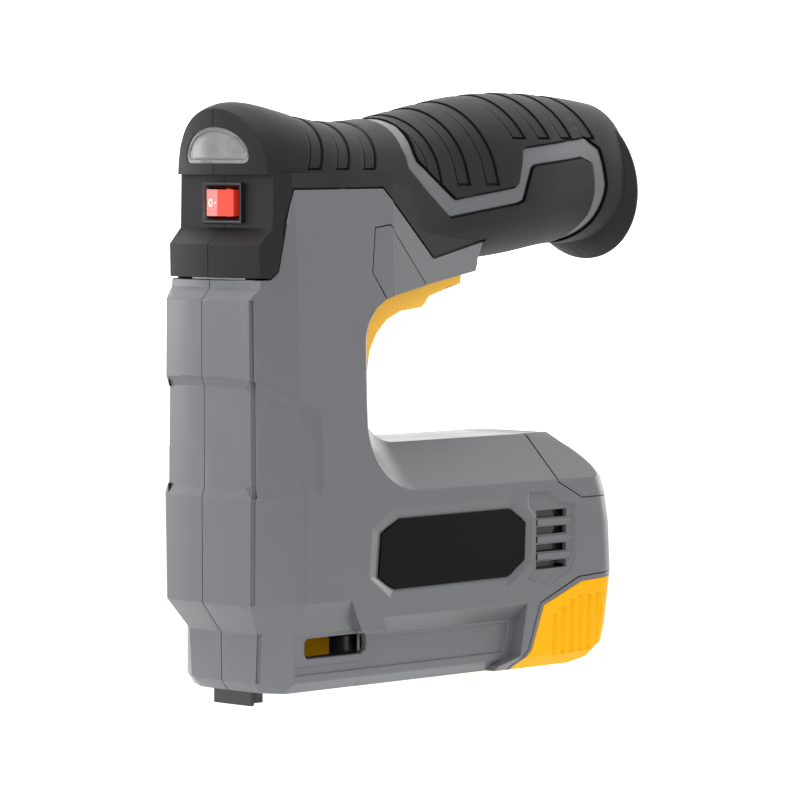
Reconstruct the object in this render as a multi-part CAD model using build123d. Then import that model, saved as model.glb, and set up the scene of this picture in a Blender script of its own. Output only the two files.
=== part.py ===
from build123d import *
import os
from math import acos, atan2, cos, degrees, hypot, pi, radians, sin, tan

# Cordless stapler. The origin is the middle of the nose tip, where the staple leaves.
# +X runs to the back of the tool, +Z is up, and -Y is the side with the name plate.
# Every size is in millimetres.

# Overall sizes
BASE_Z = 4.0                # underside of the housing above the nose tip
ARM_TOP_Z = 70.3            # flat top of the lower arm
ARM_REAR_X = 129.8          # furthest back point of the lower arm
ARM_HALF = 25.0             # half the width of the lower arm
GRIP_Z = 142.0              # height of the middle of the grip's end flange
GRIP_REAR_X = 139.6         # middle of the grip's end flange
FRONT_X = -13.4             # front of the column on the middle plane
UNDERCUT_DEPTH = 4.0        # the magazine zone is narrower than the arm by this on each side
SIDE_TAPER = 3.5            # the column's sides lean in by this between the arm and the shelf

# Walls, skins and clearances
WALL = 2.2                  # moulded housing wall
SOFT_SKIN = 1.6             # soft overmould
STRIP_DEPTH = 0.7           # grey strip below the surface of the overmould
PANEL_DEPTH = 0.9           # recessed waist panel of the column
PAD_DEPTH = 0.35            # finger pads let into the overmould
SLIT_WIDTH = 0.6            # slit along the edge of a pad
SLIT_DEPTH = 1.25           # bottom of the slit below the surface
SEAM_GAP = 0.25             # gap line round an inserted cover
SOFT_GAP = 0.5              # gap line round the overmould
SLIDE_GAP = 0.3             # room beside a moving piece
FIT_GAP = 0.05              # radial room of a pin that turns in a hole

# Column, as plan sections from the base up:
# height, front seam x, crown of the front, front half width, facet end x, side half width
SHELF_Z = GRIP_Z - 27.8     # top of the grey front, where the overmould starts
COLUMN_ROWS = [
    (BASE_Z, FRONT_X + 9.7, 0.6, 11.5, 0.4, ARM_HALF - 7.2),
    (BASE_Z + 3.0, FRONT_X + 7.2, 0.7, 12.4, 0.6, ARM_HALF - UNDERCUT_DEPTH),
    (BASE_Z + 16.2, FRONT_X + 7.0, 0.8, 13.2, 0.8, ARM_HALF - UNDERCUT_DEPTH),
    (BASE_Z + 24.8, FRONT_X + 0.1, 2.1, 16.4, 1.3, ARM_HALF),
    (ARM_TOP_Z - 12.8, FRONT_X, 2.1, 16.8, 1.5, ARM_HALF),
    (GRIP_Z - 31.0, FRONT_X, 2.1, 16.2, 2.2, ARM_HALF - SIDE_TAPER),
    (SHELF_Z, FRONT_X + 3.0, 2.1, 17.4, 2.2, ARM_HALF - 3.6),
    (GRIP_Z + 2.0, FRONT_X + 3.2, 2.1, 17.6, 1.8, ARM_HALF - 4.7),
]
COLUMN_BACK_X = 40.0        # the column runs into the arm and the shoulder here

# Waist panel outline on the side of the column
PANEL_TOP_Z = ARM_TOP_Z + 20.5
PANEL_LOW_Z = ARM_TOP_Z - 12.6
PANEL_BACK_X = 9.2
PANEL_RIM = [(FRONT_X + 2.0, PANEL_TOP_Z - 0.8), (1.5, PANEL_TOP_Z - 7.3),
             (PANEL_BACK_X - 1.4, PANEL_TOP_Z - 9.2), (PANEL_BACK_X, PANEL_TOP_Z - 11.0),
             (PANEL_BACK_X - 0.4, PANEL_LOW_Z + 3.0), (PANEL_BACK_X - 2.0, PANEL_LOW_Z),
             (1.5, PANEL_LOW_Z), (FRONT_X + 2.0, PANEL_LOW_Z)]
RIM_SLOPE = 2.3             # width of the sloping edge round the panel
EDGE_GROOVE = (1.15, 0.6)   # width and depth of the groove beside the front's edges

# Head under the brow, in the same columns as the column rows. Its sides lie in the
# planes of the shoulder's, which lean in from GRIP_Z - 52 up.
HEAD_LEAN = 0.0105
HEAD_ROWS = [
    (GRIP_Z - 26.0, FRONT_X + 2.4, 2.4, 17.6, -1.0, ARM_HALF - 4.2 - 26 * HEAD_LEAN),
    (GRIP_Z - 16.0, FRONT_X + 2.3, 2.4, 17.7, -1.0, ARM_HALF - 4.2 - 36 * HEAD_LEAN),
    (GRIP_Z - 11.6, FRONT_X + 8.8, 0.5, 18.1, 1.0, ARM_HALF - 4.2 - 40.4 * HEAD_LEAN),
    (GRIP_Z + 3.3, FRONT_X + 9.0, 0.5, 18.1, 1.0, ARM_HALF - 4.2 - 55.3 * HEAD_LEAN),
]
BROW_Z = GRIP_Z + 2.8       # underside of the brow
BROW_CROWN = 47.0           # plan radius of the brow's front
BROW_FRONT_X = FRONT_X + 4.4

# Grip and neck sections: x, then heights above GRIP_Z of the top, the upper and lower
# arc centres and the bottom, then the half width
GRIP_ROWS = [
    (FRONT_X + 3.4, 20.0, 3.0, 2.0, -10.0, 16.4),
    (2.0, 22.3, 3.2, 1.0, -12.0, 19.0),
    (16.0, 19.4, 3.4, -2.0, -16.0, 20.3),
    (32.0, 17.5, 3.2, -8.0, -21.0, 20.3),
    (48.0, 18.4, 3.6, -11.0, -23.0, 19.6),
    (64.0, 21.2, 4.0, -11.0, -22.5, 19.5),
    (84.0, 24.7, 4.0, -7.0, -21.8, 21.2),
    (104.0, 26.0, 4.0, -2.0, -20.0, 22.0),
    (124.0, 25.1, 3.0, 0.0, -17.6, 21.2),
    (GRIP_REAR_X - 1.0, 23.4, 1.5, 0.2, -16.0, 20.2),
]
FLANGE_TILT = 8.0           # the grip rises to the rear by this angle
FLANGE_R = 22.5
FLANGE_THICK = 2.0          # flange behind its middle plane

# Shoulder under the grip that carries the trigger
SHOULDER_HALF_FRONT = ARM_HALF - 4.2
SHOULDER_HALF_REAR = ARM_HALF - 7.8
SHOULDER_REAR_X = 80.0

# Hand opening between the grip and the arm: x of its front wall and radii of its
# lower and upper front corners, on the flat middle strip and out at the arm's side
OPENING_FLAT_HALF = 13.0
OPENING_LEFT_X = (34.0, 25.8)
OPENING_FLOOR_Z = (ARM_TOP_Z, ARM_TOP_Z - 12.8)
OPENING_LOW_R = (14.0, 20.0)
OPENING_HIGH_R = (14.0, 12.5)
ROOF_X = 57.0               # a point on the sloping roof of the opening
ROOF_Z = GRIP_Z - 27.6
ROOF_SLOPE = 10.3
ROOF_END_X = 76.5
ROOF_END_Z = GRIP_Z - 24.6

# Outlines on the side view, as x and height above GRIP_Z
HEAD_EDGE = [(-40, -25.6), (-5.2, -25.5), (-3.0, -23.5), (-0.4, -10.0), (1.8, -1.3), (36.0, -1.1),
             (57.5, -20.8), (80.0, -16.2), (77.5, -21.0), (76.2, -32.0)]
STRIP_INNER = [(119.5, -32.0), (121.5, -16.5), (123.2, -9.0), (122.8, 1.0), (122.0, 5.8), (117.2, 7.5),
               (96.4, 5.3), (95.1, 4.4), (91.8, -4.7), (89.7, -5.5), (64.3, -9.2), (47.4, 4.5),
               (46.6, 10.0), (47.5, 16.0), (48.5, 45.0)]
STRIP_OUTER = [(123.5, -32.0), (124.6, -17.0), (126.5, -11.5), (127.6, -0.6), (125.6, 9.8), (120.6, 12.9),
               (93.6, 10.0), (92.4, 9.2), (90.5, 0.2), (88.8, -1.2), (66.3, -4.5), (51.3, 6.2),
               (50.5, 8.5), (51.5, 16.0), (52.5, 45.0)]

# Lower arm, as the back end's x behind ARM_REAR_X at each height
REAR_ROWS = [(BASE_Z, 17.8), (BASE_Z + 1.6, 10.6), (9.6, 4.1), (15.0, 2.4), (30.0, 0.0), (44.0, 0.8),
             (53.0, 2.5), (ARM_TOP_Z - 12.7, 4.5), (ARM_TOP_Z, 18.8), (ARM_TOP_Z + 6.0, 25.6)]
REAR_CORNER_R = 8.0
UNDERCUT_TOP_Z = 23.2
UNDERCUT_LOW_Z = 18.3
LEG_OUTLINE = [(19.1, 40.0), (19.1, 28.6), (23.2, 19.7), (33.3, 19.3), (31.7, 23.0), (31.7, 40.0)]
CAP_SHOULDER = [(39.6, 24.0), (42.7, 8.4), (49.7, 5.7), (51.7, 0.0)]   # full width again, behind ARM_REAR_X

# Covers let into the outside of the housing, as outlines on the side view
COVER_DEPTH = 1.2           # thickness of the covers and depth of their recesses
BEZEL_OUTLINE = [(32.8, GRIP_Z - 11.9), (38.7, GRIP_Z - 11.2), (57.8, GRIP_Z - 32.0), (39.6, GRIP_Z - 35.6),
                 (31.3, GRIP_Z - 24.0)]
REAR_COVER_OUTLINE = [(ARM_REAR_X - 29.0, ARM_TOP_Z + 9), (ARM_REAR_X - 28.0, ARM_TOP_Z - 1),
                      (ARM_REAR_X - 27.0, ARM_TOP_Z - 13.3), (ARM_REAR_X - 16.8, ARM_TOP_Z - 18.3),
                      (ARM_REAR_X + 9, ARM_TOP_Z - 18.1), (ARM_REAR_X + 9, ARM_TOP_Z + 9)]
BADGE_FRAME = [(34.8, 53.2), (82.4, 53.4), (92.0, 46.5), (91.2, 34.3),
               (81.6, 27.9), (34.0, 28.1), (25.7, 34.5), (26.9, 47.6)]
BADGE_PLATE = [(38.9, 49.9), (83.4, 50.1), (89.6, 46.0), (89.2, 35.4),
               (82.0, 31.0), (36.6, 30.6), (30.3, 34.3), (31.5, 46.2)]
BADGE_DEPTH = 1.2
PLATE_THICK = 0.6
VENT_PANEL = [(90.2, 54.6), (99.4, 54.6), (103.4, 51.8), (110.2, 50.2), (110.2, 36.1), (108.7, 31.7),
              (98.6, 27.2), (89.0, 29.2), (93.1, 33.4), (93.4, 47.2), (90.2, 50.2)]
VENT_DEPTH = 0.8            # of the panel round the vents
VENT_HEIGHTS = [47.9, 43.2, 38.2, 33.4]
VENT_X = (94.3, 107.0)
VENT_HEIGHT = 2.2
WINDOW_X = (5.0, 29.0)      # side windows over the staples
WINDOW_Z = (13.4, 18.9)
SIDE_PANEL = [(1.6, 9.1), (84.0, 9.3), (86.2, 17.4), (33.0, 17.4), (31.6, 16.6), (30.2, 13.6), (28.9, 12.1),
              (26.9, 11.4), (1.6, 11.4)]

# Lens of the work light and the rocker switch
LENS_HALF = 12.2
LENS_WALL = 1.6
LENS_Z = (GRIP_Z + 5.9, GRIP_Z + 15.7)
SWITCH_Z = GRIP_Z - 4.8
SWITCH_X = FRONT_X + 8.9    # face of the panel that carries the switch
ROCKER_HALF = 5.5
ROCKER_HALF_HEIGHT = 3.6

# Trigger
TRIGGER_HALF = 9.0
TRIGGER_REAR_X = 79.6
TRIGGER_PIVOT = (43.0, GRIP_Z - 26.0)
TRUNNION_R = 2.0

# Striker, its blade and the guide it slides in
STRIKER_Z = (25.3, 57.0)    # when it has fired
STRIKER_HALF = 9.0
BLADE_HALF = 5.7
BLADE_THICK = 1.3
GUIDE_Z = (24.5, GRIP_Z - 18.5)
SEAT_THICK = 2.0
MAIN_SPRING_R = 4.6         # middle of the wire
MAIN_WIRE = 1.8
MAIN_COILS = 11

# Lift gears: teeth and modules, then the layers across the tool
BACKLASH = 0.2
LIFT_AXIS = (28.0, 50.0)
RACK_MODULE = 1.5
RACK_TEETH = 27             # of the full circle, of which only the lifting ones are cut
LIFTING_TEETH = 5
LIFT_TEETH = 38             # driven by LIFT_PINION
LIFT_PINION = 14
LIFT_MODULE = 1.0
SECOND_TEETH = 42
SECOND_PINION = 14
SECOND_MODULE = 0.85
FIRST_TEETH = 54
MOTOR_PINION = 12
FIRST_MODULE = 0.65
SECTOR_LAYER = (-3.2, 3.2)
LIFT_LAYER = (3.6, 8.2)
SECOND_LAYER = (8.8, 13.0)
FIRST_LAYER = (13.6, 18.0)
AXLE_R = 2.0
MOTOR_R = 13.8
MOTOR_Y = (-18.0, 10.5)
SHAFT_R = 1.15

# Magazine
CHANNEL_HALF = 7.2
CHANNEL_TOP_Z = 18.5
SHEET = 1.0
RAIL_HALF = 4.4
RAIL_Z = (7.2, 16.0)
PUSHER_X = (4.0, 29.6)
PUSHER_SPRING_R = 2.4
PUSHER_WIRE = 0.6
PUSHER_COILS = 18
SPRING_BLOCK_X = 88.7       # front of the block in the rail that the pusher spring rests on

RIM_WIDTH = 1.3             # grey rim between the cap and its seam

# Cell, boards and screws
CELL_R = 9.2
CELL_LENGTH = 65.2
CELL_CENTRE = (98.4, GRIP_Z + 3.2)
CELL_TILT = 3.2
SCREW_R = 1.45
SCREW_HEAD_R = 2.7
BOSS_R = 3.5
# Housing screws as x, z and the outer face of the head
SCREWS = [(17.0, 85.0, 17.0), (18.0, 112.0, 16.0), (14.0, 25.0, 16.0), (61.7, 24.9, 18.0),
          (118.0, 40.0, 18.0), (61.0, GRIP_Z + 5.5, 12.0), (112.0, GRIP_Z - 11.0, 11.5),
          (16.0, GRIP_Z + 8.0, 12.0)]


def prism_y(points, low, high, grow=0):
    """Extrude an outline of (x, z) points from one width to another, grown all round if asked."""
    face = make_face(Polyline([(x, low, z) for x, z in points], close=True))
    if grow:
        face = offset(face, amount=grow, kind=Kind.INTERSECTION)
    return extrude(face, amount=high - low, dir=(0, 1, 0))


def prism_x(points, low, high, grow=0):
    """Extrude an outline of (y, z) points along the tool, grown all round if asked."""
    face = make_face(Polyline([(low, y, z) for y, z in points], close=True))
    if grow:
        face = offset(face, amount=grow, kind=Kind.INTERSECTION)
    return extrude(face, amount=high - low, dir=(1, 0, 0))


def prism_z(points, low, high):
    """Extrude an outline of (x, y) points upwards."""
    outline = Polyline([(x, y, low) for x, y in points], close=True)
    return extrude(make_face(outline), amount=high - low, dir=(0, 0, 1))


def block(x, y, z):
    """Box between the (low, high) pairs given for each axis."""
    middle = Pos(sum(x) / 2, sum(y) / 2, sum(z) / 2)
    return middle * Box(x[1] - x[0], y[1] - y[0], z[1] - z[0])


def rod_x(y, z, radius, low, high):
    return Pos((low + high) / 2, y, z) * Rot(0, 90, 0) * Cylinder(radius, high - low)


def rod_y(x, z, radius, low, high):
    return Pos(x, (low + high) / 2, z) * Rot(90, 0, 0) * Cylinder(radius, high - low)


def rod_z(x, y, radius, low, high):
    return Pos(x, y, (low + high) / 2) * Cylinder(radius, high - low)


def both_sides(shape):
    """The shape and its mirror image across the middle plane."""
    return [shape, mirror(shape, about=Plane.XZ)]


def at_grip(points):
    """Outline points given above GRIP_Z, as real heights."""
    return [(x, GRIP_Z + rise) for x, rise in points]


def facet_ends(row, inset):
    """Plan points of the left facet's front and back edges, moved inwards by the inset."""
    height, seam_x, crown, front_half, facet_x, side_half = row
    edge_x = seam_x + crown
    run = facet_x - edge_x
    rise = side_half - front_half
    length = hypot(run, rise)
    line_x = edge_x + inset * rise / length
    line_y = front_half - inset * run / length
    front_x = edge_x + inset
    corner_y = line_y + (front_x - line_x) * rise / run
    side_y = side_half - inset
    side_x = line_x + (side_y - line_y) * run / rise
    return (front_x, corner_y), (side_x, side_y)


def plan_section(row, inset):
    """Crowned front, two facets and flat sides, moved inwards by the inset."""
    height, seam_x = row[:2]
    (front_x, corner_y), (side_x, side_y) = facet_ends(row, inset)
    crest = (seam_x + inset, 0, height)
    front = ThreePointArc((front_x, -corner_y, height), crest, (front_x, corner_y, height))
    rest = Polyline((front_x, corner_y, height), (side_x, side_y, height), (COLUMN_BACK_X, side_y, height),
                    (COLUMN_BACK_X, -side_y, height), (side_x, -side_y, height), (front_x, -corner_y, height))
    return make_face(front + rest)


def plan_loft(rows, inset):
    """Ruled stack of plan sections, closed by the inset at its foot."""
    foot = rows[0]
    if inset > 0:
        foot = (foot[0] + inset,) + rows[1][1:]
    return loft([plan_section(row, inset) for row in [foot] + rows[1:]], ruled=True)


def edge_groove(rows, inset):
    """Groove in the left facet beside the front's edge, from the first row to the last."""
    width, depth = EDGE_GROOVE
    sections = []
    for row in rows:
        (front_x, front_y), (side_x, side_y) = facet_ends(row, inset)
        length = hypot(side_x - front_x, side_y - front_y)
        run = (side_x - front_x) / length
        rise = (side_y - front_y) / length
        corners = [(0.15, -1.5), (0.15 + width, -1.5), (0.15 + width, depth), (0.15, depth)]
        points = [(front_x + along * run + deep * rise, front_y + along * rise - deep * run, row[0])
                  for along, deep in corners]
        sections.append(make_face(Polyline(points, close=True)))
    return loft(sections, ruled=True)


def column_side(x, z):
    """Point on the right side of the column between the arm and the shelf."""
    low, high = COLUMN_ROWS[4:6]
    share = (z - low[0]) / (high[0] - low[0])
    _, seam_x, crown, front_half, facet_x, side_half = [a + share * (b - a) for a, b in zip(low, high)]
    edge_x = seam_x + crown
    reach = min(1, max(0, (x - edge_x) / (facet_x - edge_x)))
    return Vector(x, -front_half - reach * (side_half - front_half), z)


def rim_wedge(start, end):
    """Sloping edge of the waist panel along one side of its rim."""
    first = column_side(*start)
    last = column_side(*end)
    course = (last - first).normalized()
    inward = Vector(0, 0, 1).cross(Vector(course.X, course.Y, 0)).normalized()
    if abs(course.X) < 0.5:
        inward = Vector(0, 1, 0)
    if inward.Y < 0:
        inward = -inward
    across = inward.cross(course).normalized()
    middle = column_side(0, (PANEL_TOP_Z + PANEL_LOW_Z) / 2)
    if across.dot(middle - first) < 0:
        across = -across
    deep = 1.3 * PANEL_DEPTH
    corner = first - course * 1.5
    foot = corner + inward * deep
    points = [corner, foot, foot + across * 1.3 * RIM_SLOPE]
    return extrude(make_face(Polyline(points, close=True)), amount=(last - first).length + 3, dir=course)


def front_wedge(height, slope):
    """Sloping edge of the waist panel across the crowned front."""
    _, _, crown, half = COLUMN_ROWS[4][:4]
    radius = (half ** 2 + crown ** 2) / 2 / crown
    deep = 1.3 * PANEL_DEPTH
    profile = Polyline((-radius, height), (deep - radius, height),
                       (deep - radius, height + 1.3 * slope), close=True)
    turned = revolve(Plane.XZ * make_face(profile), Axis.Z)
    return Pos(FRONT_X + radius, 0, 0) * turned


def opening_outline(width, grow):
    """Side outline of the hand opening at one width, grown into the housing."""
    share = (width - OPENING_FLAT_HALF) / (ARM_HALF - OPENING_FLAT_HALF)
    left = OPENING_LEFT_X[0] + share * (OPENING_LEFT_X[1] - OPENING_LEFT_X[0]) - grow
    floor = OPENING_FLOOR_Z[0] + share * (OPENING_FLOOR_Z[1] - OPENING_FLOOR_Z[0]) - grow
    low_r = OPENING_LOW_R[0] + share * (OPENING_LOW_R[1] - OPENING_LOW_R[0]) + grow
    high_r = OPENING_HIGH_R[0] + share * (OPENING_HIGH_R[1] - OPENING_HIGH_R[0]) + grow
    slope = radians(ROOF_SLOPE)
    bend_x = left + high_r - high_r * sin(slope)
    bend_z = ROOF_Z + grow + (bend_x - ROOF_X) * tan(slope)
    start_z = bend_z - high_r * cos(slope)
    middle = radians(90 + ROOF_SLOPE + 180) / 2
    bend_mid = (left + high_r + high_r * cos(middle), width, start_z + high_r * sin(middle))
    low_mid = (left + low_r * (1 - cos(pi / 4)), width, floor + low_r * (1 - cos(pi / 4)))
    far_x = ARM_REAR_X + 30
    corners = Polyline((bend_x, width, bend_z), (ROOF_X, width, ROOF_Z + grow),
                       (ROOF_END_X, width, ROOF_END_Z + grow), (far_x, width, ROOF_END_Z + grow),
                       (far_x, width, floor), (left + low_r, width, floor))
    low_arc = ThreePointArc((left + low_r, width, floor), low_mid, (left, width, floor + low_r))
    wall = Line((left, width, floor + low_r), (left, width, start_z))
    high_arc = ThreePointArc((left, width, start_z), bend_mid, (bend_x, width, bend_z))
    return make_face(corners + low_arc + wall + high_arc)


def opening(grow):
    """The hand opening: straight through the middle, and splayed towards both sides."""
    flat = opening_outline(OPENING_FLAT_HALF, grow)
    middle = extrude(flat, amount=2 * OPENING_FLAT_HALF, dir=(0, -1, 0))
    splay = loft([flat, opening_outline(ARM_HALF + 3, grow)], ruled=True)
    return middle + both_sides(splay)


def arm(inset):
    """Lower arm with rounded back corners and a narrower magazine zone under its sides."""
    front_x = 20.0
    sections = []
    for height, behind in REAR_ROWS:
        length = ARM_REAR_X - behind - inset - front_x
        plane = Plane(origin=(front_x + length / 2, 0, height))
        sections.append(plane * RectangleRounded(length, 2 * (ARM_HALF - inset), REAR_CORNER_R - inset))
    body = loft(sections, ruled=True)
    side = ARM_HALF - inset
    narrow = side - UNDERCUT_DEPTH
    base = BASE_Z + inset
    lean_z = COLUMN_ROWS[4][0]
    lean = SIDE_TAPER * (ARM_TOP_Z + 8 - lean_z) / (COLUMN_ROWS[5][0] - lean_z)
    profile = [(side - lean, ARM_TOP_Z + 8), (side, lean_z), (side, UNDERCUT_TOP_Z), (narrow, UNDERCUT_LOW_Z),
               (narrow, BASE_Z + 3), (narrow - 3, base)]
    slim = prism_x(profile + [(-y, z) for y, z in reversed(profile)], front_x - 5, ARM_REAR_X + 5)
    full = [(side, ARM_TOP_Z), (side, BASE_Z + 3.5), (side - 3.5, base)]
    wide = prism_x(full + [(-y, z) for y, z in reversed(full)], front_x, ARM_REAR_X + 5)
    shoulder_line = [(ARM_REAR_X - behind, height) for behind, height in CAP_SHOULDER]
    shoulder_line += [(ARM_REAR_X + 10, 0), (ARM_REAR_X + 10, 24)]
    wide &= prism_y(shoulder_line, -ARM_HALF - 5, ARM_HALF + 5, -inset)
    start = prism_y([(front_x + 3, UNDERCUT_TOP_Z + 8), (front_x + 8, BASE_Z - 5),
                     (ARM_REAR_X + 9, BASE_Z - 5), (ARM_REAR_X + 9, ARM_TOP_Z + 9),
                     (front_x + 3, ARM_TOP_Z + 9)], -ARM_HALF - 5, ARM_HALF + 5)
    leg = prism_y(LEG_OUTLINE, -side, side, -inset)
    return (body & slim & start) + [body & wide, leg]


def cap_outline(grow):
    """Side outline of the magazine end cap, grown all round."""
    rear = ARM_REAR_X + 10
    return [(rear, 30.4 + grow), (ARM_REAR_X - 17.8 - grow / 2, 29.0 + grow),
            (ARM_REAR_X - 34.3 - grow, 22.6 + grow / 2), (ARM_REAR_X - 39.3 - grow, 9.6),
            (ARM_REAR_X - 44.3 - grow, 5.4), (ARM_REAR_X - 46.3 - grow, BASE_Z - 4), (rear, BASE_Z - 4)]


def grip_section(row, inset):
    """One cross-section of the grip: two half ellipses joined by straight sides."""
    x, top, upper, lower, bottom, half = row
    half -= inset
    plane = Plane(origin=(x, 0, GRIP_Z), x_dir=(0, 1, 0), z_dir=(1, 0, 0))
    over = EllipticalCenterArc((0, upper), half, top - upper - inset, 0, arc_size=180)
    under = EllipticalCenterArc((0, lower), half, lower - bottom - inset, 180, arc_size=180)
    sides = [Line((-half, upper), (-half, lower)), Line((half, lower), (half, upper))]
    return plane * make_face(over + under + sides)


def grip(inset):
    """Neck and grip, with the brow's crowned front and flat underside."""
    body = loft([grip_section(row, inset) for row in GRIP_ROWS])
    crown = rod_z(BROW_FRONT_X + BROW_CROWN, 0, BROW_CROWN - inset, GRIP_Z - 60, GRIP_Z + 60)
    reach = block((BROW_FRONT_X + 20, ARM_REAR_X + 60), (-60, 60), (GRIP_Z - 60, GRIP_Z + 60))
    under_brow = block((-40, FRONT_X + 9.5), (-40, 40), (GRIP_Z - 60, BROW_Z + inset))
    return (body & (crown + reach)) - under_brow


def flange(inset):
    """Round end flange of the grip, square to the grip's rising axis."""
    rim = FLANGE_R - inset
    tail = FLANGE_THICK - inset
    profile = Polyline((-8.7, 0), (-8.7, rim - 6.5), (-5.4, rim - 3.2), (-1.8, rim - 0.5))
    rounded = Spline((-1.8, rim - 0.5), (-0.4, rim), (tail - 0.9, rim - 1.2), (tail, rim - 4.5))
    close = Polyline((tail, rim - 4.5), (tail, 0), (-8.7, 0))
    turned = revolve(Plane.XZ * make_face(profile + rounded + close), Axis.X)
    return Pos(GRIP_REAR_X, 0, GRIP_Z) * Rot(0, -FLANGE_TILT, 0) * turned


def trigger_tail(inset):
    """Middle of the shoulder, which reaches back behind the end of the trigger."""
    half = TRIGGER_HALF + 1.8 - inset / 2
    rear = TRIGGER_REAR_X + 2.6 - inset
    outline = [(60, ROOF_END_Z - 8), (rear, ROOF_END_Z - 8), (rear, ROOF_END_Z), (rear + 3, GRIP_Z - 14),
               (60, GRIP_Z - 8)]
    return prism_y(outline, -half, half)


def shoulder(inset):
    """Flat-sided block between the column and the grip, narrowing to the rear."""
    front_half = SHOULDER_HALF_FRONT - inset
    rear_half = SHOULDER_HALF_REAR - inset
    plans = []
    for height in (GRIP_Z - 52, GRIP_Z + 2):
        lean = HEAD_LEAN * (height - GRIP_Z + 52)
        plan = [(18, front_half - lean), (COLUMN_BACK_X, front_half - lean),
                (SHOULDER_REAR_X + 2, rear_half - lean)]
        plan += [(x, -y) for x, y in reversed(plan)]
        plans.append(make_face(Polyline([(x, y, height) for x, y in plan], close=True)))
    sides = loft(plans, ruled=True)
    outline = [(18, GRIP_Z - 46), (60, GRIP_Z - 46), (ROOF_END_X - inset, ROOF_END_Z - 8),
               (ROOF_END_X - inset, ROOF_END_Z), (SHOULDER_REAR_X - inset, GRIP_Z - 16.2),
               (SHOULDER_REAR_X - 14, GRIP_Z - 6), (40, GRIP_Z + 1 - inset), (18, GRIP_Z + 1 - inset)]
    return (sides & prism_y(outline, -ARM_HALF, ARM_HALF)) + trigger_tail(inset)


def frame_body(inset):
    """Column, arm and shoulder in one, with the hand opening cut out."""
    return plan_loft(COLUMN_ROWS, inset) + [arm(inset), shoulder(inset)] - opening(inset)


def region(points, grow=0):
    """Slab over the whole width with a side outline given above GRIP_Z, grown if asked."""
    return prism_y(at_grip(points), -60, 60, grow)


def bevelled_recess(top_face, floor_outline, floor_y):
    """Recess in the right side, from a face just outside it to a smaller outline on its floor."""
    plane = Plane(origin=(0, floor_y, 0), x_dir=(1, 0, 0), z_dir=(0, -1, 0))
    return loft([top_face, plane * floor_outline], ruled=True)


HEAD_REGION = HEAD_EDGE + STRIP_INNER + [(-40, 45.0)]
GRIP_REGION = STRIP_OUTER + [(52.5, 60), (190, 60), (190, -32)]
STRIP_REGION = STRIP_INNER + list(reversed(STRIP_OUTER))
SOFT_SHOULDER = [(1.8, -1.3), (36.0, -1.1), (57.5, -20.8), (80.0, -16.2), (80.0, 20.0), (1.8, 20.0)]
HEAD_ROOM = [(GRIP_Z - 34.0,) + HEAD_ROWS[0][1:]] + HEAD_ROWS[1:]


def polar(point, distance, angle):
    """Point at a distance and an angle in the side view."""
    return (point[0] + distance * cos(radians(angle)), point[1] + distance * sin(radians(angle)))


def tooth_points(teeth, module, angle):
    """Outline points of one stub involute tooth, from its lower flank round to its upper one."""
    pitch = teeth * module / 2
    base = pitch * cos(radians(20))
    root = pitch - 1.1 * module
    tip = pitch + 0.8 * module
    half = (pi * module - BACKLASH) / 4 / pitch
    at_pitch = tan(radians(20)) - radians(20)
    flank = [(root, max(root, base))]
    flank += [(radius, radius) for radius in (max(root + 0.01, base), pitch, (pitch + tip) / 2, tip)]
    points = []
    for side in (-1, 1):
        row = []
        for radius, rolled in flank:
            roll = acos(base / rolled)
            turn = degrees(half + at_pitch - tan(roll) + roll)
            row.append(polar((0, 0), radius, angle + side * turn))
        points += row if side < 0 else reversed(row)
    return points


def gear(axis, teeth, module, angle, layer):
    """Spur gear across one layer, with a tooth centred on the angle."""
    points = []
    for number in range(teeth):
        points += tooth_points(teeth, module, angle + number * 360 / teeth)
    return prism_y([(axis[0] + x, axis[1] + z) for x, z in points], *layer)


def gear_between(driver, driven, teeth, module, layer, is_driver):
    """Gear on one of two meshing axes: the driver has a tooth on the line of centres and the other a gap."""
    angle = degrees(atan2(driven[1] - driver[1], driven[0] - driver[0]))
    if is_driver:
        return gear(driver, teeth, module, angle, layer)
    return gear(driven, teeth, module, angle + 180 + 180 / teeth, layer)


def lightened(axis, radius, hole, layer):
    """Ring of five holes that lighten a gear's web."""
    places = [polar(axis, radius, 36 + 72 * number) for number in range(5)]
    return [rod_y(x, z, hole, layer[0] - 1, layer[1] + 1) for x, z in places]


def least_gap(path, wire, turns):
    """Smallest gap between the turns of a spring, measured on points along its wire."""
    steps = 24
    points = [path @ (number / steps / turns) for number in range(steps * turns + 1)]
    spans = [(first - last).length for number, first in enumerate(points)
             for last in points[number + steps // 2:number + 2 * steps]]
    return min(spans) - wire


def coil(start, radius, wire, length, turns, direction):
    """Round-wire spring of a given length, its wire ends just inside both end planes."""
    path = Helix(pitch=(length - wire) / turns, height=length - wire, radius=radius)
    print(f"spring of {turns} turns: least gap {least_gap(path, wire, turns):.2f} mm")
    section = Plane(origin=path @ 0, z_dir=path % 0) * Circle(wire / 2)
    wound = Pos(0, 0, wire / 2) * sweep(section, path=path, is_frenet=True)
    return Plane(origin=start, z_dir=direction) * wound


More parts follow.
